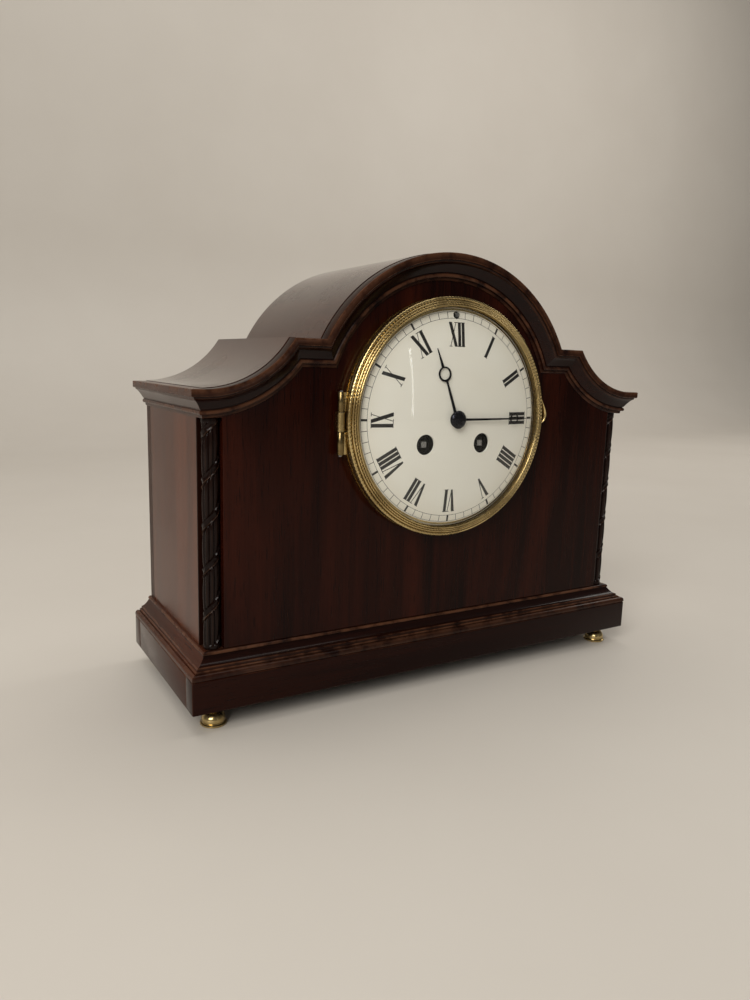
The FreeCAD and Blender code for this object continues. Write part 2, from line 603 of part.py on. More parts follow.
def bar(radius, low, high, place):
    """A plain round length of arbor."""
    return Part.makeCylinder(radius, high - low, Vector(place[0], low, place[1] + size("dial_centre")),
                             Vector(0, 1, 0))


def arbor(place, low=None, high=None):
    """An arbor between the plates, with a pivot in each."""
    front = size("front_plate_y") + size("plate_thick")
    back = size("back_plate_y")
    thick, pivot = size("plate_thick"), size("pivot_radius")
    start = front - thick if low is None else low
    stop = back + thick if high is None else high
    body = bar(size("arbor_radius"), front + 0.1, back - 0.1, place)
    return body.fuse(bar(pivot, start, stop, place))


def one_solid(shapes):
    first, rest = shapes[0], shapes[1:]
    return first.fuse(rest).removeSplitter() if rest else first


def train_wheel(label, place, pinion_mesh, pinion_phase, pinion_span, wheel_mesh, wheel_phase, wheel_low):
    """An arbor with a pinion driven by the wheel before and a wheel driving the next."""
    thick = size("wheel_thick")
    pieces = [arbor(place)]
    module, _, leaves = pinion_mesh
    pieces.append(toothed(leaves, module, PINION_LEAF, pinion_phase, place, pinion_span[0],
                          pinion_span[1] - pinion_span[0]))
    if wheel_mesh:
        module, teeth, _ = wheel_mesh
        pieces.append(toothed(teeth, module, WHEEL_TOOTH, wheel_phase, place, wheel_low, thick))
    keep(label, shaped(label, one_solid(pieces)))


def make_barrel(label, place):
    low, radius = size("barrel_front"), size("barrel_radius")
    length, rim = size("barrel_length"), size("barrel_rim")
    module, teeth, _ = GREAT
    drum = bar(radius, low, low + length, place)
    ring = toothed(teeth, module, WHEEL_TOOTH, 0.0, place, low + length, rim)
    hollow = bar(radius - 1.5, low + 1.2, low + length, place)
    bore = bar(size("barrel_bore") + size("pivot_play"), low - 1, low + length + rim + 1, place)
    keep(label, shaped(label, drum.fuse(ring).cut(hollow).cut(bore)))


RATCHET_TEETH = 24
RATCHET_TIP = 8.0
RATCHET_ROOT = 6.9


def make_winding_arbor(label, place):
    """Barrel arbor with a hub, a ratchet wheel before the front plate and a winding square."""
    low, length, rim = size("barrel_front"), size("barrel_length"), size("barrel_rim")
    front = size("front_plate_y")
    stem = bar(size("barrel_bore"), low - 0.2, low + length + rim + 0.2, place)
    pivots = bar(size("barrel_pivot"), front - 3.4, size("back_plate_y") + size("plate_thick"), place)
    points = []
    for number in range(RATCHET_TEETH):
        angle = FULL_TURN * number / RATCHET_TEETH
        step = FULL_TURN / RATCHET_TEETH
        points += [(RATCHET_TIP, angle), (RATCHET_ROOT, angle + 0.12 * step)]
    corners = [Vector(r * math.cos(a) + place[0], front - 2.0,
                      r * math.sin(a) + place[1] + size("dial_centre"))
               for r, a in points]
    ratchet = Part.Face(Part.makePolygon(corners + corners[:1])).extrude(Vector(0, 1.6, 0))
    square = Part.makeBox(3.6, 10.4, 3.6,
                          Vector(place[0] - 1.8, front - 13.6, place[1] - 1.8 + size("dial_centre")))
    keep(label, shaped(label, one_solid([stem, pivots, ratchet, square])))


def click_pivot(place, side):
    """Where a click turns: beside its ratchet and a little below."""
    return (place[0] + side * size("click_reach"), place[1] - size("click_drop"))


def make_click(label, place, side):
    """Pawl pivoted on the front plate beside its ratchet."""
    front = size("front_plate_y")
    pivot = click_pivot(place, side)
    tip = (place[0] + side * (RATCHET_TIP + 0.25), place[1])
    centre = size("dial_centre")
    hub = Part.makeCylinder(2.0, 1.4, Vector(pivot[0], front - 1.9, pivot[1] + centre), Vector(0, 1, 0))
    nose = [(tip[0], tip[1] + 0.6), (tip[0], tip[1] - 0.6), (pivot[0] - side * 1.0, pivot[1] - 1.2),
            (pivot[0] + side * 1.0, pivot[1] + 1.2)]
    corners = [Vector(x, front - 1.9, z + centre) for x, z in nose]
    beak = Part.Face(Part.makePolygon(corners + corners[:1])).extrude(Vector(0, 1.4, 0))
    stud = bar(0.8, front - 1.9, front + 1.0, pivot)
    keep(label, shaped(label, one_solid([hub, beak, stud])))


# ---------------------------------------------------------------- plates
def plate_holes(kind):
    """Pivot holes, (place, radius), in one plate."""
    play = size("pivot_play")
    small = size("pivot_radius") + play
    places = [(spot, small) for spot in (GOING_SECOND, THIRD_ARBOR, ESCAPE_ARBOR, STRIKE_SECOND, PIN_ARBOR,
                                         WARNING_ARBOR, FLY_ARBOR)]
    places += [(spot, size("barrel_pivot") + play) for spot in (GOING_BARREL, STRIKE_BARREL)]
    places.append((CENTRE, small if kind == "back" else 1.5 + play))
    places += [(ANCHOR_ARBOR, small), (HAMMER_ARBOR, small)]
    if kind == "front":
        places.append((MINUTE_ARBOR, 0.8))
        places += [(click_pivot(GOING_BARREL, 1), 0.85), (click_pivot(STRIKE_BARREL, -1), 0.85)]
    return places


def make_plates():
    for label, low, kind in (("front_plate", "front_plate_y", "front"),
                             ("back_plate", "back_plate_y", "back")):
        blank = rod(f"{label}_blank", "plate_radius", low, f"{low} + plate_thick", z="dial_centre")
        holes = [rod(f"{label}_hole_{n}", str(r), low, f"{low} + plate_thick", str(x), f"dial_centre + {z}")
                 for n, ((x, z), r) in enumerate(plate_holes(kind))]
        keep(label, cut(label, blank, holes))
    posts = []
    for number, angle in enumerate((60, 160, 250, 290)):
        x, z = toward((0, 0), angle, size("pillar_circle"))
        posts.append(rod(f"pillar_{number}", "pillar_radius", "front_plate_y + plate_thick", "back_plate_y",
                         str(x), f"dial_centre + {z}"))
        posts.append(rod(f"dial_foot_{number}", "1.8", "dial_plate_front + dial_plate_thick", "front_plate_y",
                         str(x), f"dial_centre + {z}"))
    keep("pillars", group("pillars", posts))


# ---------------------------------------------------------------- trains
def make_going_train():
    low = size("barrel_front") + size("barrel_length")
    make_barrel("going_barrel", GOING_BARREL)
    make_winding_arbor("going_winding_arbor", GOING_BARREL)
    second = meshed_phase(GREAT, 0.0, GOING_BARREL, GOING_SECOND)
    train_wheel("going_second_wheel", GOING_SECOND, GREAT, second, (low - 0.6, low + 3.2), SECOND, 0.0,
                size("second_wheel_y"))
    centre_phase = meshed_phase(SECOND, 0.0, GOING_SECOND, CENTRE)
    pieces = [bar(size("arbor_radius"), -42.9, size("back_plate_y") - 0.1, CENTRE),
              bar(size("pivot_radius"), size("minute_hand_y") - 0.8,
                  size("back_plate_y") + size("plate_thick"), CENTRE),
              bar(1.5, -45.0, -42.0, CENTRE),
              toothed(SECOND[2], SECOND[0], PINION_LEAF, centre_phase, CENTRE, -22.2, 2.4),
              toothed(THIRD[1], THIRD[0], WHEEL_TOOTH, 0.0, CENTRE, size("centre_wheel_y"),
                      size("wheel_thick"))]
    keep("centre_wheel", shaped("centre_wheel", one_solid(pieces)))
    third = meshed_phase(THIRD, 0.0, CENTRE, THIRD_ARBOR)
    train_wheel("third_wheel", THIRD_ARBOR, THIRD, third, (-17.9, -14.9), LAST, 0.0, size("third_wheel_y"))
    last = meshed_phase(LAST, 0.0, THIRD_ARBOR, ESCAPE_ARBOR)
    pieces = [arbor(ESCAPE_ARBOR),
              toothed(LAST[2], LAST[0], PINION_LEAF, last, ESCAPE_ARBOR, -14.2, 2.8)]
    points = []
    teeth, tip, root = 45, 8.6, 7.2
    for number in range(teeth):
        angle, step = FULL_TURN * number / teeth, FULL_TURN / teeth
        points += [(tip, angle), (root, angle + 0.30 * step), (root, angle + 0.85 * step)]
    corners = [Vector(r * math.cos(a) + ESCAPE_ARBOR[0], size("escape_y"),
                      r * math.sin(a) + ESCAPE_ARBOR[1] + size("dial_centre")) for r, a in points]
    pieces.append(Part.Face(Part.makePolygon(corners + corners[:1])).extrude(Vector(0, 1.0, 0)))
    keep("escape_wheel", shaped("escape_wheel", one_solid(pieces)))


def make_strike_train():
    low = size("barrel_front") + size("barrel_length")
    make_barrel("strike_barrel", STRIKE_BARREL)
    make_winding_arbor("strike_winding_arbor", STRIKE_BARREL)
    second = meshed_phase(GREAT, 0.0, STRIKE_BARREL, STRIKE_SECOND)
    train_wheel("strike_second_wheel", STRIKE_SECOND, GREAT, second, (low - 0.6, low + 3.2), SECOND, 0.0,
                size("strike_second_y"))
    pin = meshed_phase(SECOND, 0.0, STRIKE_SECOND, PIN_ARBOR)
    train_wheel("pin_wheel", PIN_ARBOR, SECOND, pin, (-20.2, -17.4), STRIKE_THIRD, 0.0, size("pin_wheel_y"))
    warning = meshed_phase(STRIKE_THIRD, 0.0, PIN_ARBOR, WARNING_ARBOR)
    train_wheel("warning_wheel", WARNING_ARBOR, STRIKE_THIRD, warning, (-27.4, -24.4), STRIKE_LAST, 0.0,
                size("warning_wheel_y"))
    last = meshed_phase(STRIKE_LAST, 0.0, WARNING_ARBOR, FLY_ARBOR)
    pieces = [arbor(FLY_ARBOR), toothed(STRIKE_LAST[2], STRIKE_LAST[0], PINION_LEAF, last, FLY_ARBOR, -31.4,
                                        3.0),
              Part.makeBox(10.0, 7.0, 0.6, Vector(FLY_ARBOR[0] - 5.0, size("fly_y"),
                                                FLY_ARBOR[1] - 0.3 + size("dial_centre")))]
    keep("fly", shaped("fly", one_solid(pieces)))


def make_escapement():
    """Anchor and crutch on one arbor, the anchor in the escape wheel's plane."""
    centre = size("dial_centre")
    x, z = ANCHOR_ARBOR
    low, thick = size("escape_y"), 1.0
    arc_outer, arc_inner = 9.4, 7.2
    outer = Part.makeCylinder(arc_outer, thick, Vector(x, low, z + centre), Vector(0, 1, 0))
    inner = Part.makeCylinder(arc_inner, thick, Vector(x, low, z + centre), Vector(0, 1, 0))
    below = Part.makeBox(40, thick, 40, Vector(x - 20, low, z + centre - 40 - 4.6))
    ring = outer.cut(inner).cut(below)
    above = Part.makeBox(40, thick, 40, Vector(x - 20, low, z + centre + 1.6))
    ring = ring.cut(above)
    web = Part.makeBox(2 * arc_outer - 1.2, thick, 3.0, Vector(x - arc_outer + 0.6, low, z + centre - 1.4))
    shaft = arbor(ANCHOR_ARBOR, high=-1.0)
    boss = Part.makeCylinder(2.0, 1.4, Vector(x, -4.2, z + centre), Vector(0, 1, 0))
    stem = Part.makeBox(1.6, 1.2, 34.0, Vector(x - 0.8, -4.1, z + centre - 35.0))
    prongs = [Part.makeBox(1.0, 8.6, 1.2, Vector(x + offset, -4.1, z + centre - 35.0)) for offset in (-2.3,
                                                                                                      1.3)]
    bridge = Part.makeBox(4.6, 1.2, 1.2, Vector(x - 2.3, -4.1, z + centre - 35.0))
    keep("anchor_and_crutch", shaped("anchor_and_crutch", one_solid([ring, web, shaft, boss, stem,
                                                                     bridge] + prongs)))


def make_pendulum():
    centre, y = size("dial_centre"), size("pendulum_y")
    x, z = ANCHOR_ARBOR
    top, length = z + centre, size("pendulum_length")
    rod_low = top - length - 17.0
    spring = Part.makeBox(3.0, 0.3, 7.6, Vector(x - 1.5, y - 0.15, top - 3.0))
    hook = Part.makeBox(4.0, 2.4, 4.0, Vector(x - 2.0, y - 1.2, top - 7.0))
    keep("suspension_spring", shaped("suspension_spring", spring.cut(hook)))
    stem = Part.makeCylinder(1.0, top - 7.0 - rod_low, Vector(x, y, rod_low), Vector(0, 0, 1))
    keep("pendulum_rod", shaped("pendulum_rod", one_solid([hook, stem])))
    bob_centre = top - length
    radius = size("bob_radius")
    lens = turned("bob_lens", [(0, -4.0), (radius * 0.5, -3.4), (radius * 0.85, -2.0), (radius, -0.4),
                               (radius, 0.4),
                               (radius * 0.85, 2.0), (radius * 0.5, 3.4), (0, 4.0)], "Y",
                  (str(x), "pendulum_y", str(bob_centre)))
    slot = post("bob_slot", "1.0", str(bob_centre - 20), str(bob_centre + 20), str(x), "pendulum_y")
    keep("pendulum_bob", cut("pendulum_bob", lens, [slot]))
    nut = post("nut_blank", "3.0", str(rod_low + 0.2), str(rod_low + 2.8), str(x), "pendulum_y")
    nut_bore = post("nut_bore", "1.0", str(rod_low - 1), str(rod_low + 4), str(x), "pendulum_y")
    keep("rating_nut", cut("rating_nut", nut, [nut_bore]))


def make_suspension():
    """Back cock carrying the suspension and the regulator arbor's bearing."""
    centre = size("dial_centre")
    x, z = ANCHOR_ARBOR
    back = size("back_plate_y") + size("plate_thick")
    rise = size("regulator_rise")
    foot = Part.makeBox(16.0, 2.0, rise + 5.0 - 44.5, Vector(x - 8.0, back, centre + 44.5))
    shelf = Part.makeBox(8.0, size("pendulum_y") + 3.0 - back, 3.4, Vector(x - 4.0, back, z + centre + 5.0))
    bore = Part.makeCylinder(1.5 + size("pivot_play"), 4.0, Vector(x, back - 1, centre + rise),
                             Vector(0, 1, 0))
    keep("suspension_cock", shaped("suspension_cock", foot.fuse(shelf).cut(bore)))
    stem = Part.makeCylinder(1.5, back + 3.0 - size("dial_plate_front"),
                             Vector(0, size("dial_plate_front"), centre + rise), Vector(0, 1, 0))
    square = Part.makeBox(2.4, 2.6, 2.4, Vector(-1.2, size("dial_plate_front") - 2.6, centre + rise - 1.2))
    keep("regulator_arbor", shaped("regulator_arbor", one_solid([stem, square])))


def make_strike_work():
    centre, mouth, depth = size("dial_centre"), size("bell_mouth"), size("bell_depth")
    radius, drop = size("bell_radius"), size("bell_drop")
    outer = [(radius, 0), (radius * 0.94, depth * 0.35), (radius * 0.78, depth * 0.68),
             (radius * 0.5, depth * 0.9),
             (radius * 0.18, depth)]
    wall = 2.0
    profile = [(2.0, depth)] + outer[::-1] + [(r - wall, y) for r, y in outer[:1]]
    profile += [(r - wall, y - wall * 0.6) for r, y in outer[1:4]] + [(2.0, depth - wall)]
    keep("bell", turned("bell", profile, "Y", ("0", "bell_mouth", "dial_centre - bell_drop")))
    back = size("back_plate_y") + size("plate_thick")
    foot = toward((0, 0), -44.0, 40.0)
    crown = mouth + depth
    leg = Part.makeCylinder(2.2, crown + 3.0 - back, Vector(foot[0], back, foot[1] + centre), Vector(0, 1, 0))
    hub = Part.makeCylinder(4.0, 3.0, Vector(0, crown, centre - drop), Vector(0, 1, 0))
    peg = Part.makeCylinder(1.9, 6.0, Vector(0, crown - 3.5, centre - drop), Vector(0, 1, 0))
    span = math.hypot(foot[0], foot[1] + drop)
    arm = Part.makeBox(span, 3.0, 4.4, Vector(0, crown, -2.2))
    arm.Placement = Placement(Vector(0, 0, centre - drop),
                              Rotation(Vector(0, 1, 0), -math.degrees(math.atan2(foot[1] + drop, foot[0]))))
    keep("bell_stand", shaped("bell_stand", one_solid([leg, hub, peg, arm])))
    x, z = HAMMER_ARBOR
    shaft = arbor(HAMMER_ARBOR, high=mouth + 5.0)
    head_x, head_z = radius + 4.6, -drop - 9.0
    reach = Part.makeCylinder(0.9, math.hypot(head_x - x, head_z - z),
                              Vector(x, mouth + 3.5, z + centre), Vector(head_x - x, 0, head_z - z))
    head = Part.makeCylinder(3.2, 7.0, Vector(head_x, mouth, head_z + centre), Vector(0, 1, 0))
    collar = Part.makeCylinder(2.2, 4.0, Vector(x, mouth + 1.5, z + centre), Vector(0, 1, 0))
    keep("hammer", shaped("hammer", one_solid([shaft, collar, reach, head])))


def make_motion_work():
    """Cannon pinion, minute wheel and hour wheel between the front plate and the dial."""
    play, thick = size("pivot_play"), size("wheel_thick")
    tip, pivot = size("minute_hand_y"), size("pivot_radius")
    cannon = [bar(2.0, tip, -45.3, CENTRE), toothed(CANNON[2], CANNON[0], PINION_LEAF, 0.0, CENTRE, -49.4,
                                                    3.6)]
    pipe = one_solid(cannon).cut(bar(1.5 + play, -46.2, -45.0, CENTRE))
    keep("cannon_pinion", shaped("cannon_pinion", pipe.cut(bar(pivot + 0.1, tip - 1, -45, CENTRE))))
    wheel_phase = meshed_phase(CANNON, 0.0, CENTRE, MINUTE_ARBOR, wheel_drives=False)
    pieces = [bar(0.75, -53.8, -43.2, MINUTE_ARBOR),
              toothed(CANNON[1], CANNON[0], WHEEL_TOOTH, wheel_phase, MINUTE_ARBOR, -48.2, thick),
              toothed(HOUR[2], HOUR[0], PINION_LEAF, 0.0, MINUTE_ARBOR, -53.4, 5.4)]
    keep("minute_wheel", shaped("minute_wheel", one_solid(pieces)))
    hour_phase = meshed_phase(HOUR, 0.0, MINUTE_ARBOR, CENTRE, wheel_drives=False)
    pieces = [bar(2.9, size("hour_hand_y"), -50.6, CENTRE),
              toothed(HOUR[1], HOUR[0], WHEEL_TOOTH, hour_phase, CENTRE, -52.0, thick)]
    keep("hour_wheel", shaped("hour_wheel", one_solid(pieces).cut(bar(2.0 + play, -64, -50, CENTRE))))


def hand_shape(length, ring_at, ring_radius, width, front, hub, bore):
    """A moon hand pointing up, bent to the dial's dome: stem, pierced ring and leaf point."""
    centre, dome, thick = size("dial_centre"), size("dial_dome"), size("hand_thick")
    deep = 8.0

    def disc(radius, rise):
        return Part.makeCylinder(radius, deep, Vector(0, front, centre + rise), Vector(0, 1, 0))

    corners = [Vector(x, front, centre + z) for x, z in
               ((-width, 0), (-width * 0.55, ring_at), (-width * 1.3, ring_at + ring_radius + 3.2),
                (0, length),
                (width * 1.3, ring_at + ring_radius + 3.2), (width * 0.55, ring_at), (width, 0))]
    blade = Part.Face(Part.makePolygon(corners + corners[:1])).extrude(Vector(0, deep, 0))
    pierced = disc(ring_radius * 0.66, ring_at + ring_radius * 0.12)
    flat = one_solid([disc(hub, 0), blade, disc(ring_radius, ring_at)]).cut(pierced).cut(disc(bore, 0))
    middle = Vector(0, front + dome, centre)
    sheet_metal = Part.makeSphere(dome, middle).cut(Part.makeSphere(dome - thick, middle))
    return flat.common(sheet_metal)


def make_hands():
    """Set at a quarter past eleven."""
    centre, front = Vector(0, 0, size("dial_centre")), size("minute_hand_y")
    hour = hand_shape(44.4, 28.7, 4.4, 1.3, size("hour_hand_y"), 4.6, 2.9)
    hour.rotate(centre, Vector(0, 1, 0), 337.5)
    keep("hour_hand", shaped("hour_hand", hour))
    minute = hand_shape(57.0, 46.0, 3.6, 1.1, front, 3.8, 2.0)
    minute.rotate(centre, Vector(0, 1, 0), 90.0)
    keep("minute_hand", shaped("minute_hand", minute))
    cap = turned("collet_cap", [(0, front - 1.7), (1.8, front - 1.5), (3.2, front - 0.8), (3.6, front - 0.02),
                                (0, front - 0.02)], "Y", ("0", "0", "dial_centre"))
    hole = rod("collet_hole", "pivot_radius + 0.1", "minute_hand_y - 0.9", "minute_hand_y + 1",
               z="dial_centre")
    keep("hand_collet", cut("hand_collet", cap, [hole]))


def check_document():
    """Stop on any failed object or bad sub-part."""
    doc.recompute()
    failed = [o.Label for o in doc.Objects if "Invalid" in o.State or "Error" in o.State]
    if failed:
        raise RuntimeError(f"failed objects: {failed}")
    for label, piece in PARTS.items():
        if piece.Shape.isNull() or not piece.Shape.isValid() or piece.Shape.Volume <= 0:
            raise RuntimeError(f"bad shape: {label}")


def main():
    make_plinth()
    make_base_moulding()
    make_panels()
    make_screws()
    make_roof()
    make_cornice()
    make_columns()
    make_feet()
    make_seat()
    make_bezel()
    make_glass()
    make_catch()
    make_dial()
    make_back_door()
    make_straps()
    make_plates()
    make_going_train()
    make_strike_train()
    make_click("going_click", GOING_BARREL, 1)
    make_click("strike_click", STRIKE_BARREL, -1)
    make_escapement()
    make_pendulum()
    make_suspension()
    make_strike_work()
    make_motion_work()
    make_hands()
    check_document()
    os.makedirs("parts", exist_ok=True)
    whole = FreeCAD.BoundBox()
    for label, piece in PARTS.items():
        piece.Shape.exportStep(os.path.join("parts", f"{label}.step"))
        whole.add(piece.Shape.BoundBox)
        print(f"{label:24s} solids {len(piece.Shape.Solids)}  volume {piece.Shape.Volume:11.1f}")
    print(len(PARTS), "nodes;", whole)


main()
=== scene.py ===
# %% [markdown]
# # A mahogany mantel clock
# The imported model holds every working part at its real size. This lesson dresses it:
# finer meshes for the parts that are seen, a finish for every part, then floor, light
# and camera. Lengths are written in millimetres and turned to metres once, at the end
# of each piece.

# %% Load the frame
import json
import math
import bpy
import bmesh
from mathutils import Matrix, Vector


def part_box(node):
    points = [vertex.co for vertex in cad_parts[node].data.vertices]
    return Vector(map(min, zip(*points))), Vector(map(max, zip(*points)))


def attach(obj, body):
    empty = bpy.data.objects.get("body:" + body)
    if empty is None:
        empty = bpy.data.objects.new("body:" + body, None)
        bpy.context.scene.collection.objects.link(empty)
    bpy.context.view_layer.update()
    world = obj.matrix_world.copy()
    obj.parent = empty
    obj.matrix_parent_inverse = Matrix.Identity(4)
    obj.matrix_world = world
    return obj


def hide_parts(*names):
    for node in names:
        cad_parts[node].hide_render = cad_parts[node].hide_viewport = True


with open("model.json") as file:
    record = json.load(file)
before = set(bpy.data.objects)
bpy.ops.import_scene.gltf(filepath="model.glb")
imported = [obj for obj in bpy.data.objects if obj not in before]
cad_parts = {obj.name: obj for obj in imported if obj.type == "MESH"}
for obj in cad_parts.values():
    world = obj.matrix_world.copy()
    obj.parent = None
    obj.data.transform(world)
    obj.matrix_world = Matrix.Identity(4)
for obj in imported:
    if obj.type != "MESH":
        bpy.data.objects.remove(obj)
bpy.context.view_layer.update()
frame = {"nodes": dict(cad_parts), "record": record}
MM = 0.001
TURN = 2.0 * math.pi

# %% [markdown]
# ## Where things are
# Each size comes from the box of a part in the frame, so the looks stay with the model
# if it changes.


# %% Sizes read from the frame, in millimetres
def span(node, axis):
    """Lowest and highest place of a node along one axis, in millimetres."""
    low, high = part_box(node)
    return low[axis] / MM, high[axis] / MM


PLINTH_HALF = span("plinth_front", 0)[1]
PLINTH_FRONT, PLINTH_INNER = span("plinth_front", 1)
PLINTH_LOW, PLINTH_TOP = span("plinth_front", 2)
CASE_BACK = span("back_panel", 1)[1]
BODY_HALF = span("side_panels", 0)[1]
PANEL_FACE, PANEL_BACK = span("front_panel", 1)
ROOF_TOP = span("roof_arch", 2)[1]
DIAL_Z = sum(span("enamel_dial", 2)) / 2
ROLLED_RIM = 2.3  # the enamel runs on under the bezel by this much
DIAL_RADIUS = span("enamel_dial", 0)[1] + ROLLED_RIM
DIAL_FRONT = span("enamel_dial", 1)[0]
GLASS_FRONT = span("bezel_glass", 1)[0]
print("case", 2 * BODY_HALF, "dial centre", round(DIAL_Z, 2), "dial radius", round(DIAL_RADIUS, 2))

# %% [markdown]
# ## Shader sums as plain Python
# A material is a graph of nodes. Writing each Math node by hand hides the idea, so a
# small class wraps a socket and lets ordinary operators add the nodes.


# %% A wrapped socket
class Signal:
    """A number that varies over the surface."""

    def __init__(self, paint, socket):
        self.paint, self.socket = paint, socket

    def sum(self, operation, first, second):
        return self.paint.add("ShaderNodeMath", {"operation": operation}, {0: first, 1: second})

    def __add__(self, other):
        return self.sum("ADD", self, other)

    def __radd__(self, other):
        return self.sum("ADD", other, self)

    def __sub__(self, other):
        return self.sum("SUBTRACT", self, other)

    def __rsub__(self, other):
        return self.sum("SUBTRACT", other, self)

    def __mul__(self, other):
        return self.sum("MULTIPLY", self, other)

    def __rmul__(self, other):
        return self.sum("MULTIPLY", other, self)

    def __pow__(self, other):
        return self.sum("POWER", self, other)


# %% A finish under construction
class Paint:
    """One material: adds nodes, links them, and sets the main shader."""

    def __init__(self, name):
        self.material = bpy.data.materials.new(name)
        self.material.use_nodes = True
        self.tree = self.material.node_tree
        self.shader = self.tree.nodes["Principled BSDF"]
        self.output = self.tree.nodes["Material Output"]

    def add(self, kind, settings=None, sockets=None, out=0):
        """A node of this kind, its settings first and then its sockets."""
        node = self.tree.nodes.new(kind)
        for key, value in (settings or {}).items():
            setattr(node, key, value)
        for key, value in (sockets or {}).items():
            self.put(node.inputs[key], value)
        return Signal(self, node.outputs[out])

    def put(self, socket, value):
        if isinstance(value, Signal):
            self.tree.links.new(value.socket, socket)
        else:
            socket.default_value = value

    def set(self, **values):
        """Sockets of the main shader, with underscores for spaces."""
        for key, value in values.items():
            self.put(self.shader.inputs[key.replace("_", " ")], value)
        return self

    def place(self, scale=(1, 1, 1), turn=(0, 0, 0), shift=(0, 0, 0)):
        """Object coordinates through a Mapping node."""
        where = self.add("ShaderNodeTexCoord", out=3)
        return self.add("ShaderNodeMapping", None,
                        {"Vector": where, "Scale": scale, "Rotation": turn, "Location": shift})

    def noise(self, where, scale, detail=3.0, rough=0.5, twist=0.0):
        return self.add("ShaderNodeTexNoise", None,
                        {"Vector": where, "Scale": scale, "Detail": detail, "Roughness": rough,
                         "Distortion": twist})

    def step(self, value, low, high):
        """0 below low, 1 above high, smooth between."""
        return self.add("ShaderNodeMapRange", {"interpolation_type": "SMOOTHSTEP", "clamp": True},
                        {"Value": value, "From Min": low, "From Max": high})

    def mix(self, factor, first, second):
        """Two colours mixed."""
        return self.add("ShaderNodeMix", {"data_type": "RGBA"}, {0: factor, 6: first, 7: second}, out=2)

    def bump(self, height, strength, distance, below=None):
        sockets = {"Height": height, "Strength": strength, "Distance": distance}
        if below is not None:
            sockets["Normal"] = below
        return self.add("ShaderNodeBump", None, sockets)

    def wear_and_painted_light(self):
        """How exposed a point is, from the attribute painted on the pieces: on wood it lightens the arrises
        as wear and painted highlight, on brass it darkens groove roots as painted shade.
        """
        return self.add("ShaderNodeAttribute", {"attribute_name": "wear_and_painted_light"}, out=2)


def rgb(red, green, blue):
    return (red, green, blue, 1.0)


# %% [markdown]
# ## Polished mahogany
# Mahogany under old French polish is nearly black-red in shade and glows red-brown in
# light. Three scales make it: a broad flame figure, ribbons of fibre, and short dark
# pores along the grain. The polish is a clear coat; the pores dent it a little, and
# rubbed arrises show paler wood, painted paler than wear alone, as a painted highlight
# along them.


# %% The wood
FIBRE_STRETCH = 0.16
# Paler wood of rubbed arrises, which also stands as a painted highlight along them.
RUBBED_AND_LIT = (0.11, 0.045, 0.022)


def mahogany(name, grain, deep, warm, figure=1.0, shine=0.11, worn_and_lit_colour=RUBBED_AND_LIT, gloss=0.10,
             rebate_shade_depth=None):
    """Dark polished wood. grain is the axis, 0 to 2, along which the fibres run.

    The last argument is the depth, in metres, of a board's front edge; the wood in front of it is painted
    nearly black, as painted shade in the rebate beside the corner column.
    """
    wood = Paint(name)
    stretch = [1.0, 1.0, 1.0]
    stretch[grain] = FIBRE_STRETCH
    broad = wood.noise(wood.place(tuple(6.0 * s for s in stretch)), 1.6, 3.0, 0.55, 1.8)
    ribbon = wood.noise(wood.place(tuple(60.0 * s ** 1.7 for s in stretch)), 2.4, 4.0, 0.6, 0.3)
    fibre = wood.noise(wood.place(tuple(500.0 * s ** 2.0 for s in stretch)), 1.5, 2.0, 0.6)
    pore_noise = wood.noise(wood.place(tuple(1500.0 * s ** 1.6 for s in stretch)), 1.0, 1.0, 0.5)
    pores = wood.step(pore_noise, 0.60, 0.72)
    mass = wood.step(broad, 0.36, 0.68) * 0.6 * figure + wood.step(ribbon, 0.3, 0.75) * 0.3
    mass = mass + wood.step(fibre, 0.2, 0.8) * 0.14
    body = wood.mix(mass, rgb(*deep), rgb(*warm))
    body = wood.mix(pores * 0.55, body, rgb(deep[0] * 0.25, deep[1] * 0.25, deep[2] * 0.3))
    # Painted shade: with a depth given, the wood in front of it, in the rebate beside the corner column, is
    # mixed nearly to black.
    if rebate_shade_depth is not None:
        depth = wood.add("ShaderNodeSeparateXYZ", None, {0: wood.place()}, out=1)
        painted_rebate_shade = 1.0 - wood.step(depth, rebate_shade_depth + 0.0003, rebate_shade_depth + 0.0010)
        body = wood.mix(painted_rebate_shade * 0.9, body, rgb(0.004, 0.0016, 0.0012))
    # Wear and painted highlight: marked arrises are mixed towards a paler rubbed colour, broken up by
    # noise.
    arris_breakup = wood.noise(wood.place((70, 70, 70)), 1.3, 3.0, 0.6)
    edge = wood.wear_and_painted_light() * wood.step(arris_breakup, 0.30, 0.62)
    body = wood.mix(edge * 0.8, body, rgb(*worn_and_lit_colour))
    cloud = wood.noise(wood.place((24, 24, 24)), 1.0, 4.0, 0.6)
    fine = wood.noise(wood.place((900, 900, 900)), 1.0, 2.0, 0.5)
    dull = shine + wood.step(cloud, 0.35, 0.8) * 0.10 + edge * 0.15 + fine * 0.04
    normal = wood.bump(pores * -1.0 + fibre * 0.25, 0.22, 0.00006)
    normal = wood.bump(cloud, 0.10, 0.0006, normal)
    wood.set(Base_Color=body, Roughness=dull, Normal=normal, Specular_IOR_Level=0.10)
    wood.set(Coat_Weight=gloss - edge * gloss * 0.6, Coat_Roughness=0.09, Coat_IOR=1.45)
    return wood.material


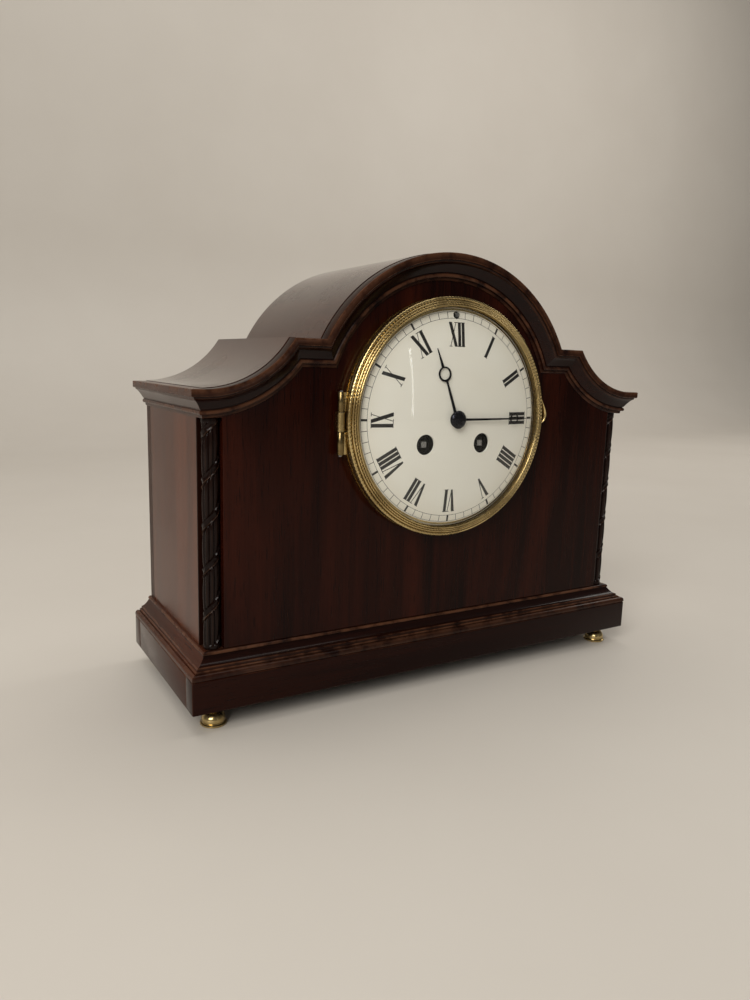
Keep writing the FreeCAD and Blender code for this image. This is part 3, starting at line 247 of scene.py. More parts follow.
# Painted light and shade: the same mahogany is near black on the front panel, front moulding lengths and
# plinth front, and much lighter on the side panels, side lengths and plinth rails, as if the side were lit
# and the front shaded.
FRONT_WOOD = mahogany("flame_mahogany", 2, (0.0040, 0.0007, 0.0004), (0.038, 0.0064, 0.0022), 1.0,
                      gloss=0.05)
SIDE_WOOD = mahogany("side_mahogany", 2, (0.040, 0.0090, 0.0030), (0.150, 0.038, 0.0120), 0.8, 0.14,
                     gloss=0.10, rebate_shade_depth=PANEL_BACK * MM)
ROOF_WOOD = mahogany("roof_mahogany", 1, (0.020, 0.0054, 0.0030), (0.070, 0.020, 0.0090), 0.7, 0.20,
                     gloss=0.75)
LONG_WOOD = mahogany("moulding_mahogany", 0, (0.0044, 0.0011, 0.0008), (0.024, 0.0056, 0.0028), 0.5,
                     0.15, gloss=0.18)
LIT_SIDE_WOOD = mahogany("moulding_mahogany_sides_painted_light", 1, (0.020, 0.0050, 0.0024), (0.080, 0.020, 0.0080),
                     0.5, 0.15, gloss=0.06)
CARVED_WOOD = mahogany("carved_mahogany", 2, (0.0040, 0.0016, 0.0012), (0.016, 0.0052, 0.0032), 0.4, 0.18,
                       (0.12, 0.065, 0.04))
PLINTH_WOOD = mahogany("plinth_mahogany", 0, (0.0060, 0.0010, 0.0005), (0.024, 0.0042, 0.0013), 0.4,
                       0.12, (0.05, 0.016, 0.007), 0.05)
BACK_WOOD = mahogany("back_mahogany", 0, (0.020, 0.0070, 0.0040), (0.066, 0.024, 0.012), 0.6, 0.38)
print("woods made:", 8)


# %% [markdown]
# ## Metals
# Lacquered brass is yellow with a browner tone where the lacquer has aged. In the roots
# of the turning it is painted nearly black, a painted shade. The colour and the roughness
# both follow slow clouds, and fine lines stand for the tool marks of the lathe, which run
# round the dial's axis.


# %% Brass, steel and bell metal
def turned_metal(name, bright, aged, rough, marks=0.0, ageing=0.6, centre=(0.0, 0.0, DIAL_Z * MM)):
    """A metal with aged patches; marks is the strength of turning lines about the dial axis."""
    metal = Paint(name)
    patch = metal.noise(metal.place((45, 45, 45)), 1.0, 5.0, 0.65, 0.4)
    speck = metal.noise(metal.place((600, 600, 600)), 1.0, 2.0, 0.6)
    age = metal.step(patch, 0.38, 0.72) * ageing + metal.step(speck, 0.62, 0.8) * 0.25
    colour = metal.mix(age, rgb(*bright), rgb(*aged))
    # Painted shade: where the wear and painted-light attribute is set, in the bezel's groove roots, behind
    # its sight lip and on its hinge, the colour is darkened nearly to black.
    colour = metal.mix(metal.wear_and_painted_light() * 0.9, colour, rgb(aged[0] * 0.16, aged[1] * 0.13, aged[2] * 0.10))
    gloss = rough + age * 0.12 + speck * 0.05
    shift = tuple(-c for c in centre)
    where = metal.place((1, 0.0, 1), (0, 0, 0), (shift[0], 0.0, shift[2]))
    radius = metal.add("ShaderNodeVectorMath", {"operation": "LENGTH"}, {0: where}, out=1)
    rings = metal.add("ShaderNodeTexNoise", {"noise_dimensions": "1D"},
                      {"W": radius * 5200.0, "Scale": 1.0, "Detail": 1.0})
    height = rings * marks + speck * 0.2
    metal.set(Base_Color=colour, Metallic=1.0, Roughness=gloss,
              Normal=metal.bump(height, 0.25, 0.00004))
    return metal.material


BRASS = turned_metal("lacquered_brass", (0.64, 0.49, 0.23), (0.22, 0.145, 0.055), 0.20, 0.15, 0.75)
PLATE_BRASS = turned_metal("movement_brass", (0.66, 0.48, 0.21), (0.34, 0.22, 0.09), 0.30, 0.8)
DOOR_BRASS = turned_metal("door_brass", (0.72, 0.53, 0.23), (0.36, 0.23, 0.08), 0.24, 1.0)
BELL = turned_metal("bell_metal", (0.62, 0.50, 0.30), (0.30, 0.22, 0.12), 0.22, 0.9)
STEEL = turned_metal("polished_steel", (0.52, 0.52, 0.53), (0.24, 0.20, 0.17), 0.20, 0.2, 0.4)
BLUED = turned_metal("blued_steel", (0.020, 0.021, 0.028), (0.030, 0.024, 0.020), 0.24, 0.1, 0.4)
# Painted shade: the dial plate and front plate, seen only through the winding holes, are near-black brass
# standing for the shade inside the holes.
SHADED_PLATE_BRASS = turned_metal("plate_brass_painted_shade", (0.012, 0.009, 0.006), (0.006, 0.005, 0.004), 0.6, 0.8)
print("metals made:", 7)

# %% [markdown]
# ## Enamel and glass
# The dial is white vitreous enamel fired on copper: glassy, very slightly uneven, with
# a few fine specks, and darker and warmer towards the rim, a painted shade under the
# bezel. The numerals are fired black enamel. The glass is clear, so it is a mix of plain
# see-through and mirror gloss, with more gloss at glancing angles.


# %% Enamels
def dial_enamel():
    fired = Paint("dial_enamel")
    shade = fired.noise(fired.place((18, 18, 18)), 1.0, 4.0, 0.6, 0.5)
    speck = fired.noise(fired.place((1400, 1400, 1400)), 1.0, 1.0, 0.5)
    where = fired.place((1, 0.0, 1), (0, 0, 0), (0.0, 0.0, -DIAL_Z * MM))
    radius = fired.add("ShaderNodeVectorMath", {"operation": "LENGTH"}, {0: where}, out=1)
    # Painted shade: the enamel is darkened and warmed towards the rim, under the bezel.
    rim = fired.step(radius, DIAL_RADIUS * MM * 0.72, DIAL_RADIUS * MM * 1.02)
    body = fired.mix(rim * 0.55 + fired.step(shade, 0.35, 0.75) * 0.35,
                     rgb(0.88, 0.855, 0.785), rgb(0.80, 0.75, 0.65))
    body = fired.mix(fired.step(speck, 0.80, 0.84) * 0.6, body, rgb(0.30, 0.24, 0.17))
    ripple = fired.noise(fired.place((35, 35, 35)), 1.0, 2.0, 0.4)
    fired.set(Base_Color=body, Roughness=0.16 + shade * 0.08, Normal=fired.bump(ripple, 0.10, 0.0008),
              Coat_Weight=0.15, Coat_Roughness=0.12, Specular_IOR_Level=0.3)
    return fired.material


def numeral_enamel():
    ink = Paint("numeral_enamel")
    thin = ink.noise(ink.place((900, 900, 900)), 1.0, 2.0, 0.6)
    body = ink.mix(ink.step(thin, 0.45, 0.8) * 0.7, rgb(0.010, 0.009, 0.009), rgb(0.035, 0.030, 0.026))
    ink.set(Base_Color=body, Roughness=0.22 + thin * 0.15, Normal=ink.bump(thin, 0.15, 0.00005),
            Coat_Weight=0.3, Coat_Roughness=0.08)
    return ink.material


def clear_glass():
    pane = Paint("clear_glass")
    smear = pane.noise(pane.place((30, 30, 30)), 1.0, 4.0, 0.6, 1.0)
    dust = pane.noise(pane.place((2500, 2500, 2500)), 1.0, 1.0, 0.5)
    clear = pane.add("ShaderNodeBsdfTransparent", None, {"Color": rgb(0.985, 0.99, 0.985)})
    pane.set(Base_Color=pane.mix(smear, rgb(0.9, 0.92, 0.92), rgb(0.8, 0.82, 0.80)), Metallic=1.0,
             Roughness=0.02 + pane.step(smear, 0.45, 0.9) * 0.05 + pane.step(dust, 0.7, 0.8) * 0.1)
    facing = pane.add("ShaderNodeLayerWeight", None, {"Blend": 0.5}, out=1)
    gloss = 0.022 + facing ** 6.0 * 0.4
    mixed = pane.add("ShaderNodeMixShader", None,
                     {0: gloss, 1: clear, 2: Signal(pane, pane.shader.outputs[0])})
    pane.put(pane.output.inputs["Surface"], mixed)
    return pane.material


ENAMEL = dial_enamel()
INK = numeral_enamel()
GLASS = clear_glass()
print("enamels and glass made")

# %% [markdown]
# ## Building blocks for meshes
# Three helpers cover nearly every piece. `lathe` spins an outline round an axis, as a
# turner would. `drape` bends a flat grid into any surface given by two numbers, which
# suits mouldings that follow a path and carving that winds round a column. `finish`
# turns a mesh into a piece that rides on its body.


# %% From a mesh to a piece
def finish(mesh, name, body, material, stands_for=(), sharp=32.0, recalc=True):
    """Scale to metres, point the faces outwards, and hand the piece to its body."""
    bmesh.ops.remove_doubles(mesh, verts=mesh.verts, dist=0.0008)
    bmesh.ops.dissolve_degenerate(mesh, edges=mesh.edges, dist=0.0005)
    if recalc:
        bmesh.ops.recalc_face_normals(mesh, faces=mesh.faces)
    bmesh.ops.scale(mesh, vec=(MM, MM, MM), verts=mesh.verts)
    data = bpy.data.meshes.new(name)
    mesh.to_mesh(data)
    mesh.free()
    data.shade_smooth()
    data.set_sharp_from_angle(angle=math.radians(sharp))
    data.materials.append(material)
    piece = bpy.data.objects.new(name, data)
    bpy.context.scene.collection.objects.link(piece)
    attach(piece, body)
    if stands_for:
        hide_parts(*stands_for)
    print(f"{name}: {len(data.polygons)} faces")
    return piece


# %% Spinning and draping
def lathe(mesh, profile, steps, centre=(0.0, 0.0, 0.0), axis="Y", wear_and_painted_light=None):
    """Spin (radius, distance) points round an axis through centre."""
    mark = mesh.verts.layers.float.get("wear_and_painted_light") or mesh.verts.layers.float.new("wear_and_painted_light")
    along = Vector((0, 1, 0)) if axis == "Y" else Vector((0, 0, 1))
    middle = Vector(centre)
    corners = [mesh.verts.new(middle + Vector((r, 0, 0)) + along * d) for r, d in profile]
    for number, corner in enumerate(corners):
        corner[mark] = wear_and_painted_light[number] if wear_and_painted_light else 0.0
    edges = [mesh.edges.new(pair) for pair in zip(corners, corners[1:])]
    bmesh.ops.spin(mesh, geom=corners + edges, cent=middle, axis=along, angle=TURN, steps=steps,
                   use_merge=True, use_duplicate=False)
    bmesh.ops.remove_doubles(mesh, verts=mesh.verts, dist=0.0008)


def drape(mesh, rows, columns, place, wear_and_light_marks=None):
    """A grid of rows by columns of points, each moved to place(row, column)."""
    mark = mesh.verts.layers.float.get("wear_and_painted_light") or mesh.verts.layers.float.new("wear_and_painted_light")
    grid = bmesh.ops.create_grid(mesh, x_segments=rows - 1, y_segments=columns - 1, size=0.5)["verts"]
    assert len(grid) == rows * columns, (len(grid), rows, columns)
    for point in grid:
        row = round((point.co.x + 0.5) * (rows - 1))
        column = round((point.co.y + 0.5) * (columns - 1))
        point.co = place(row, column)
        point[mark] = wear_and_light_marks(row, column) if wear_and_light_marks else 0.0
    return grid


def close_ends(mesh):
    """Fill every open loop, so a swept moulding becomes a solid."""
    bmesh.ops.remove_doubles(mesh, verts=mesh.verts, dist=0.0008)
    open_edges = [edge for edge in mesh.edges if edge.is_boundary]
    bmesh.ops.holes_fill(mesh, edges=open_edges, sides=0)


def arc(centre, radius, start, end, count):
    """Points along an arc, angles in degrees."""
    angles = [math.radians(start + (end - start) * k / (count - 1)) for k in range(count)]
    return [(centre[0] + radius * math.cos(a), centre[1] + radius * math.sin(a)) for a in angles]


# %% [markdown]
# ## The top outline
# The arch, two flat shelves and two hollow shoulders are one line. The cornice follows
# it at many insets, because each bead of its section is the same line drawn in by a few
# millimetres, so one function gives the line at any inset, always with the same number
# of points. Corners then meet in true mitres by themselves.


# %% The line of the top at an inset
ARCH_RADIUS = 97.0
ARCH_CENTRE = ROOF_TOP - ARCH_RADIUS
SHELF_Z = ARCH_CENTRE + 43.9
HOLLOW_RADIUS = 60.0
HOLLOW = (156.0, ARCH_CENTRE + 76.3)
TIP_Z = HOLLOW[1] - HOLLOW_RADIUS
ARCH_POINTS = 73
HOLLOW_POINTS = 21


def top_line(inset, half):
    """Points (x, z) from the left tip over the arch to the right tip."""
    radius, hollow, shelf = ARCH_RADIUS - inset, HOLLOW_RADIUS + inset, SHELF_Z - inset
    foot = math.degrees(math.asin((shelf - ARCH_CENTRE) / radius))
    lip = math.degrees(math.asin((HOLLOW[1] - shelf) / hollow))
    right = [(half, HOLLOW[1] - hollow)]
    right += arc(HOLLOW, hollow, 270.0, 180.0 + lip, HOLLOW_POINTS)
    right += arc((0.0, ARCH_CENTRE), radius, foot, 90.0, ARCH_POINTS // 2 + 1)
    if half < HOLLOW[0]:
        right = [(min(x, half), z) for x, z in right]
    left = [(-x, z) for x, z in right[:-1]]
    return left + right[::-1]


print("points on the top line:", len(top_line(0.0, BODY_HALF + 8.0)))

# %% [markdown]
# ## Cornice
# A cornice moulding is planed to one section and mitred at every corner. From the top
# it has a square fillet, a small step, a long hollow, a narrow bead and a last small
# fillet on the panel. The section is a list of pairs: how far down from the top line,
# and how far out from the panel.


# %% The cornice section and its three lengths
def cornice_section():
    """(inset from the top line, outset from the panel, wear and painted highlight) from the back round the
    front.
    """
    points = [(0.0, 0.0, 0.0), (0.0, 8.1, 0.3), (0.15, 8.45, 1.0), (0.5, 8.6, 0.8), (3.4, 8.6, 0.2),
              (3.9, 8.5, 0.8), (4.1, 8.1, 0.6), (4.15, 7.2, 0.0), (4.7, 7.05, 0.1), (5.1, 6.9, 0.5)]
    points += [(5.1 + 5.6 * t, 6.9 - 4.6 * t ** 0.72, 0.0) for t in (0.12, 0.25, 0.4, 0.55, 0.7, 0.85, 1.0)]
    points += [(10.95, 1.75, 0.0), (11.3, 1.75, 0.1)]
    points += [(12.5 - 1.2 * math.cos(a), 1.75 + 0.95 * math.sin(a), 0.9 * math.sin(a))
               for a in (math.radians(d) for d in (30, 60, 90, 120, 150))]
    fillet = [(13.7, 1.5, 0.0), (13.9, 0.9, 0.3), (15.2, 0.8, 0.5), (15.5, 0.5, 0.3), (15.5, 0.0, 0.0)]
    return points + fillet


CORNICE = cornice_section()


def make_cornice_front():
    mesh = bmesh.new()
    lines = [top_line(inset, BODY_HALF + outset) for inset, outset, _ in CORNICE]
    section = CORNICE + CORNICE[:1]

    def place(row, column):
        x, z = lines[column % len(lines)][row]
        return Vector((x, PANEL_FACE - section[column][1], z))

    drape(mesh, len(lines[0]), len(section), place, lambda row, column: section[column][2])
    close_ends(mesh)
    return finish(mesh, "cornice_front_moulding", "case", LONG_WOOD, ["cornice_front"])


def make_cornice_sides():
    mesh = bmesh.new()
    section = CORNICE + CORNICE[:1]
    for side in (-1, 1):
        def place(row, column):
            inset, outset, _ = section[column]
            y = PANEL_FACE - outset if row == 0 else (CASE_BACK if row == 2 else 0.0)
            return Vector((side * (BODY_HALF + outset), y, TIP_Z - inset))

        drape(mesh, 3, len(section), place, lambda row, column: section[column][2])
    close_ends(mesh)
    return finish(mesh, "cornice_side_mouldings", "case", LIT_SIDE_WOOD, ["cornice_sides"])


make_cornice_front()
make_cornice_sides()

# %% [markdown]
# ## Roof
# The roof is a bent board under veneer, the same line as the cornice carried straight
# back. Two slabs make it: the board between the panels, and the thin veneer that laps
# over both panels' edges.


# %% Roof board and veneer
VENEER = 0.35
ROOF_BOARD = 7.0
BACK_PANEL_FACE = CASE_BACK - 8.0


def slab(mesh, outer, inner, front, back):
    """A bent board between two insets of the top line."""
    upper, lower = top_line(outer, BODY_HALF), top_line(inner, BODY_HALF)
    ring = [(upper, front), (upper, front + 0.4), (upper, back - 0.4), (upper, back), (lower, back),
            (lower, front), (upper, front)]

    def place(row, column):
        line, y = ring[column]
        x, z = line[row]
        return Vector((x, y, z))

    drape(mesh, len(upper), len(ring), place)


def make_roof():
    veneer = bmesh.new()
    slab(veneer, -VENEER, 0.0, PANEL_FACE + 0.05, CASE_BACK - 0.1)
    close_ends(veneer)
    finish(veneer, "roof_veneer", "case", ROOF_WOOD, ())
    under = bmesh.new()
    slab(under, 0.0, ROOF_BOARD, PANEL_BACK + 0.05, BACK_PANEL_FACE - 0.05)
    close_ends(under)
    return finish(under, "roof_board", "case", BACK_WOOD, ["roof_arch", "roof_shoulders"])


make_roof()

# %% [markdown]
# ## Plinth and base moulding
# The plinth is plain boards with softened arrises. The moulding over it steps in by
# about eleven millimetres: an ovolo above a shadow line, a fillet, a small bead, a long
# hollow and a bead at the top. Its path is the front and both sides, mitred at the front
# corners, so it is draped like the cornice.


# %% Base moulding
def base_section():
    """(inset from the plinth face, height over the plinth, wear and painted highlight), from the foot up.
    """
    points = [(0.55, 0.0, 0.0), (0.55, 0.35, 0.0), (0.05, 0.5, 0.6), (0.0, 1.3, 0.3)]
    points += [(2.1 - 2.1 * math.cos(a), 1.6 + 2.0 * math.sin(a), 0.2 + 0.3 * math.sin(a))
               for a in (math.radians(d) for d in (18, 36, 54, 72, 88))]
    points += [(2.5, 3.3, 0.0), (2.9, 3.3, 0.0), (2.95, 4.0, 0.7), (3.1, 4.4, 1.0), (3.6, 4.6, 0.4),
               (4.1, 4.6, 0.0), (4.2, 5.5, 0.3), (4.4, 5.9, 0.9), (4.9, 6.1, 0.3), (5.2, 6.2, 0.0)]
    points += [(5.2 + 4.0 * t, 6.2 + 3.9 * t ** 1.5, 0.0) for t in (0.2, 0.4, 0.6, 0.8, 1.0)]
    points += [(9.3, 10.3, 0.0), (9.0, 10.6, 0.2), (8.85, 11.1, 0.8), (9.0, 11.7, 1.0), (9.4, 12.2, 0.8),
               (9.9, 12.4, 0.3), (11.9, 12.4, 0.0), (11.9, 0.0, 0.0)]
    return points


BASE = base_section()


def base_path(inset):
    """Plan of the moulding at an inset: back left, front left, front right, back right."""
    side, front = PLINTH_HALF - inset, PLINTH_FRONT + inset
    return [(-side, CASE_BACK), (-side, front), (side, front), (side, CASE_BACK)]


def make_base_moulding():
    section = BASE + BASE[:1]
    lengths = (("base_moulding_front_length", ((1, 2),), LONG_WOOD, "base_moulding_front"),
               ("base_moulding_side_lengths", ((0, 1), (2, 3)), LIT_SIDE_WOOD, "base_moulding_sides"))
    for name, runs, material, node in lengths:
        mesh = bmesh.new()
        for run in runs:
            def place(row, column):
                inset, rise, _ = section[column]
                start, end = (Vector((*base_path(inset)[k], PLINTH_TOP + rise)) for k in run)
                return start.lerp(end, row / 8)

            drape(mesh, 9, len(section), place, lambda row, column: section[column][2])
        close_ends(mesh)
        finish(mesh, name, "case", material, [node])


make_base_moulding()


# %% Plinth boards
RAIL = 12.0


def board(mesh, low, high, round_by=0.5):
    """A rectangular board with rounded arrises, marked for wear and painted light only where they are
    round.
    """
    mark = mesh.verts.layers.float.get("wear_and_painted_light") or mesh.verts.layers.float.new("wear_and_painted_light")
    size = Vector(high) - Vector(low)
    cube = bmesh.ops.create_cube(mesh, size=1.0)["verts"]
    bmesh.ops.scale(mesh, vec=size, verts=cube)
    bmesh.ops.translate(mesh, vec=(Vector(low) + Vector(high)) / 2, verts=cube)
    edges = list({edge for vert in cube for edge in vert.link_edges})
    rounded = bmesh.ops.bevel(mesh, geom=edges, offset=round_by, offset_type="OFFSET", affect="EDGES",
                              segments=3, profile=0.5, material=-1)
    mesh.normal_update()
    for vert in rounded["verts"]:
        flat = any(max(abs(part) for part in face.normal) > 0.9999 for face in vert.link_faces)
        vert[mark] = 0.0 if flat else 0.7


def make_plinth():
    front = bmesh.new()
    board(front, (-PLINTH_HALF, PLINTH_FRONT, PLINTH_LOW), (PLINTH_HALF, PLINTH_INNER, PLINTH_TOP))
    finish(front, "plinth_front_board", "case", PLINTH_WOOD, ["plinth_front"])
    rails = bmesh.new()
    for side in (-1, 1):
        outer, inner = side * PLINTH_HALF, side * (PLINTH_HALF - RAIL)
        board(rails, (min(outer, inner), PLINTH_INNER, PLINTH_LOW),
              (max(outer, inner), CASE_BACK - RAIL, PLINTH_TOP))
    board(rails, (-PLINTH_HALF, CASE_BACK - RAIL, PLINTH_LOW), (PLINTH_HALF, CASE_BACK, PLINTH_TOP))
    finish(rails, "plinth_rail_boards", "case", LIT_SIDE_WOOD, ["plinth_rails"])


make_plinth()

# %% [markdown]
# ## Carved corner columns
# Each front corner holds a bundle of reeds tied with one ribbon that winds upwards. It
# is one grid wrapped round an axis: the angle gives the reeds, the angle and height
# together say whether a point lies on the ribbon, and the radius follows from both. The
# reeds swell between the ties, and the ribbon's edges curl.


# %% The wound column
COLUMN_LOW, COLUMN_HIGH = span("corner_column_left", 2)
COLUMN_RADIUS = (span("corner_column_left", 0)[1] - span("corner_column_left", 0)[0]) / 2
REEDS = 9
WIND = 25.0  # rise of the ribbon in one turn
RIBBON = 0.19  # share of a turn that the ribbon covers
PLAIN_END = 3.2
END_RADIUS = 4.6


def column_radius(angle, rise):
    """Radius and the wear and painted-highlight mark of the carving at an angle and a height above the
    column's foot.
    """
    turns = (rise - 4.0) / WIND - angle / TURN
    phase = turns - math.floor(turns)
    reed = abs(math.sin(REEDS * angle / 2.0))
    if phase < RIBBON:
        across = phase / RIBBON * 2.0 - 1.0
        curl = 0.45 * across ** 4
        crease = 0.12 * math.cos(across * 2.6 + 3.0 * math.sin(3.0 * angle + 5.0 * math.floor(turns)))
        radius = 4.35 + curl + crease
        # Painted highlight along the ribbon's lower edge.
        wear_and_light_marks = 0.9 * max(0.0, -across - 0.6) * 2.5
        return radius, wear_and_light_marks
    along = (phase - RIBBON) / (1.0 - RIBBON)
    swell = math.sin(math.pi * along) ** 0.22
    radius = 3.05 + 0.75 * swell + 0.85 * reed ** 0.55 * swell
    # Painted highlight along the crests of the reeds, where they swell.
    return radius, 0.25 * max(0.0, reed - 0.88) * 4.0 * swell


def make_columns():
    around, up = 91, 330
    for node in ("corner_column_left", "corner_column_right"):
        mesh = bmesh.new()
        middle = Vector((sum(span(node, 0)) / 2, sum(span(node, 1)) / 2, 0.0))
        height = COLUMN_HIGH - COLUMN_LOW

        def shape(row, column):
            angle, rise = TURN * row / (around - 1), height * column / (up - 1)
            radius, wear_and_light_marks = column_radius(angle, rise)
            ends = min(rise, height - rise)
            plain = min(1.0, max(0.0, PLAIN_END - ends))
            radius = radius * (1.0 - plain) + END_RADIUS * plain
            if column in (0, up - 1):
                radius = END_RADIUS - 0.2
            return angle, rise, min(radius, COLUMN_RADIUS), wear_and_light_marks

        def place(row, column):
            angle, rise, radius, _ = shape(row, column)
            return middle + Vector((radius * math.cos(angle), radius * math.sin(angle), COLUMN_LOW + rise))

        drape(mesh, around, up, place, lambda row, column: shape(row, column)[3])
        close_ends(mesh)
        finish(mesh, f"{node}_carving", "case", CARVED_WOOD, [node], 40.0)


make_columns()

# %% [markdown]
# ## Brass feet
# Four little turned feet: a broad rim, an ogee rising to a neck and a collar under the
# plinth. Each is one outline spun round an upright axis.


# %% Turned feet
def make_feet():
    radius = 7.5
    across, height = span("feet", 0)[1] - radius, span("feet", 2)[1]
    front, back = span("feet", 1)
    rim = [(0.0, 0.0), (6.2, 0.0), (7.1, 0.2), (radius, 0.7), (radius, 1.3), (7.1, 1.7), (6.6, 1.8)]
    ogee = [(6.5, 2.1), (6.7, 2.6), (6.75, 3.6), (6.5, 4.8), (5.9, 6.0), (5.0, 7.1), (4.1, 7.8), (3.5, 8.3),
            (3.2, 8.8), (3.3, 9.2)]
    collar = [(4.3, 9.5), (4.6, 9.9), (4.3, 10.3), (3.4, 10.5), (3.5, 11.0), (5.0, 11.4), (5.3, 11.7),
              (5.3, height), (0.0, height)]
    mesh = bmesh.new()
    for x in (-across, across):
        for y in (front + radius, back - radius):
            lathe(mesh, rim + ogee + collar, 64, (x, y, 0.0), "Z")
    return finish(mesh, "turned_feet", "case", BRASS, ["feet"], 40.0)


make_feet()

# %% [markdown]
# ## Bezel
# The bezel is a turned brass ring with fine reeds. Two of the reeds are milled like a
# rope: the spun ring gets enough steps round it that each notch has several, and the
# points on those reeds are pushed in and out in a slanted wave.


# %% The milled ring
BEZEL_FRONT, BEZEL_BACK = span("bezel", 1)
BEZEL_SIGHT = 66.4
KNURLS = 200


def bezel_reeds():
    """(radius, y, painted shade, milled) from the back of the outer wall to the sight edge."""
    front = BEZEL_FRONT
    # The third value is painted shade: full in the groove roots, and most of it behind the sight lip.
    points = [(67.2, BEZEL_BACK, 0, 0), (72.0, BEZEL_BACK, 0, 0), (72.5, BEZEL_BACK - 0.5, 0, 0),
              (72.5, front + 4.9, 0, 0), (72.1, front + 4.5, 1.0, 0), (72.1, front + 4.2, 1.0, 0)]
    beads = ((71.7, 1.25, front + 3.0, -40, 150, 1), (69.95, 0.72, front + 1.75, 20, 165, 0),
             (68.75, 0.62, front + 1.0, 20, 160, 1), (67.45, 0.60, front + 0.6, 15, 150, 0))
    for radius, size, middle, start, end, milled in beads:
        for step in range(9):
            angle = math.radians(start + (end - start) * step / 8)
            points.append((radius + size * math.cos(angle), middle - size * math.sin(angle), 0.0, milled))
        points.append((radius - size * 0.98, middle + 0.05, 1.0, 0))
    points += [(BEZEL_SIGHT, front + 0.4, 0, 0), (BEZEL_SIGHT, front + 0.95, 0.5, 0),
               (67.2, front + 0.95, 0.8, 0), (67.2, BEZEL_BACK, 0, 0)]
    return points


def make_bezel():
    reeds = bezel_reeds()
    mesh = bmesh.new()
    outline, wear_and_light_marks = [(r, y) for r, y, _, _ in reeds], [w for _, _, w, _ in reeds]
    lathe(mesh, outline, KNURLS * 5, (0.0, 0.0, DIAL_Z), "Y", wear_and_light_marks)
    milled = {(round(r, 2), round(y, 2)) for r, y, _, on in reeds if on}
    for point in mesh.verts:
        across, rise = point.co.x, point.co.z - DIAL_Z
        radius = math.hypot(across, rise)
        if (round(radius, 2), round(point.co.y, 2)) in milled:
            angle = math.atan2(rise, across)
            wave = math.cos(KNURLS * angle + point.co.y * 1.6)
            swell = 1.0 + 0.17 * wave / radius
            point.co.x, point.co.z = across * swell, DIAL_Z + rise * swell
            point.co.y += 0.12 * wave
    for low, high in ((-20.0, -6.6), (4.6, 16.0)):
        knuckle(mesh, DIAL_Z + low, DIAL_Z + high)
    catch(mesh)
    return finish(mesh, "bezel_ring", "bezel_frame", BRASS, ["bezel", "bezel_catch"], 50.0)


HINGE_X, HINGE_Y = -75.6, -54.4


def knuckle(mesh, low, high):
    """A hinge barrel with rounded ends, and its leaf running in to the ring."""
    profile = [(1.2, low), (1.8, low), (2.1, low + 0.3), (2.1, high - 0.3), (1.8, high), (1.2, high),
               (1.2, low)]
    # The same mark darkens the whole barrel, and the leaf's rounded arrises.
    lathe(mesh, profile, 40, (HINGE_X, HINGE_Y, 0.0), "Z", [0.75] * len(profile))
    board(mesh, (HINGE_X + 1.6, HINGE_Y - 0.9, low + 0.2), (-71.4, HINGE_Y + 0.9, high - 0.2), 0.3)


def catch(mesh):
    """The curved thumb piece at three o'clock: a lip that is fullest low down and tapers upwards."""
    def place(row, column):
        along = row / 24
        rise = 19.0 * along - 4.5
        swell = math.sin(math.pi * along ** 0.6) ** 1.2
        angle = TURN * column / 12
        reach = 72.5 + 4.2 * swell
        thick, deep = 0.25 + 1.0 * swell, 0.5 + 1.7 * swell
        return Vector((reach + thick * math.cos(angle), -55.4 + deep * math.sin(angle), DIAL_Z + rise))

    drape(mesh, 25, 13, place)
    close_ends(mesh)


make_bezel()

# %% [markdown]
# ## The convex glass
# A slice of a sphere with a ground edge. The outline runs from the middle of the front
# over the edge and back along the inside, and a full spin closes it.


# %% The glass
def make_glass():
    sight, rim, edge, thick = BEZEL_SIGHT - 0.4, BEZEL_FRONT + 0.9, span("bezel_glass", 0)[1], 1.4
    rise = rim - 1.1 - GLASS_FRONT
    ball = (sight ** 2 + rise ** 2) / (2 * rise)

    def sag(radius):
        return GLASS_FRONT + ball - math.sqrt(ball ** 2 - radius ** 2)

    steps = [sight * k / 28 for k in range(29)]
    profile = [(r, sag(r)) for r in steps] + [(sight + 0.3, rim), (edge, rim), (edge, rim + thick)]
    profile += [(r, sag(r) + thick) for r in reversed(steps[:-1])]
    mesh = bmesh.new()
    lathe(mesh, profile, 160, (0.0, 0.0, DIAL_Z))
    return finish(mesh, "convex_glass", "bezel_frame", GLASS, ["bezel_glass"], 40.0)


make_glass()

# %% [markdown]
# ## The enamel dial
# A shallow dome with a rolled rim. The winding holes and the centre hole are real
# openings, so they are cut from the spun dome with a boolean.


# %% Dome and holes
DOME = 429.0
WINDING = ((-21.1, -15.0), (21.1, -15.0))
WINDING_RADIUS = 6.2
REGULATOR_RISE = 62.0


def dome(radius, lift=0.0):
    """Y of the enamel at a radius, lifted off the surface."""
    return DIAL_FRONT + radius * radius / (2.0 * DOME) - lift


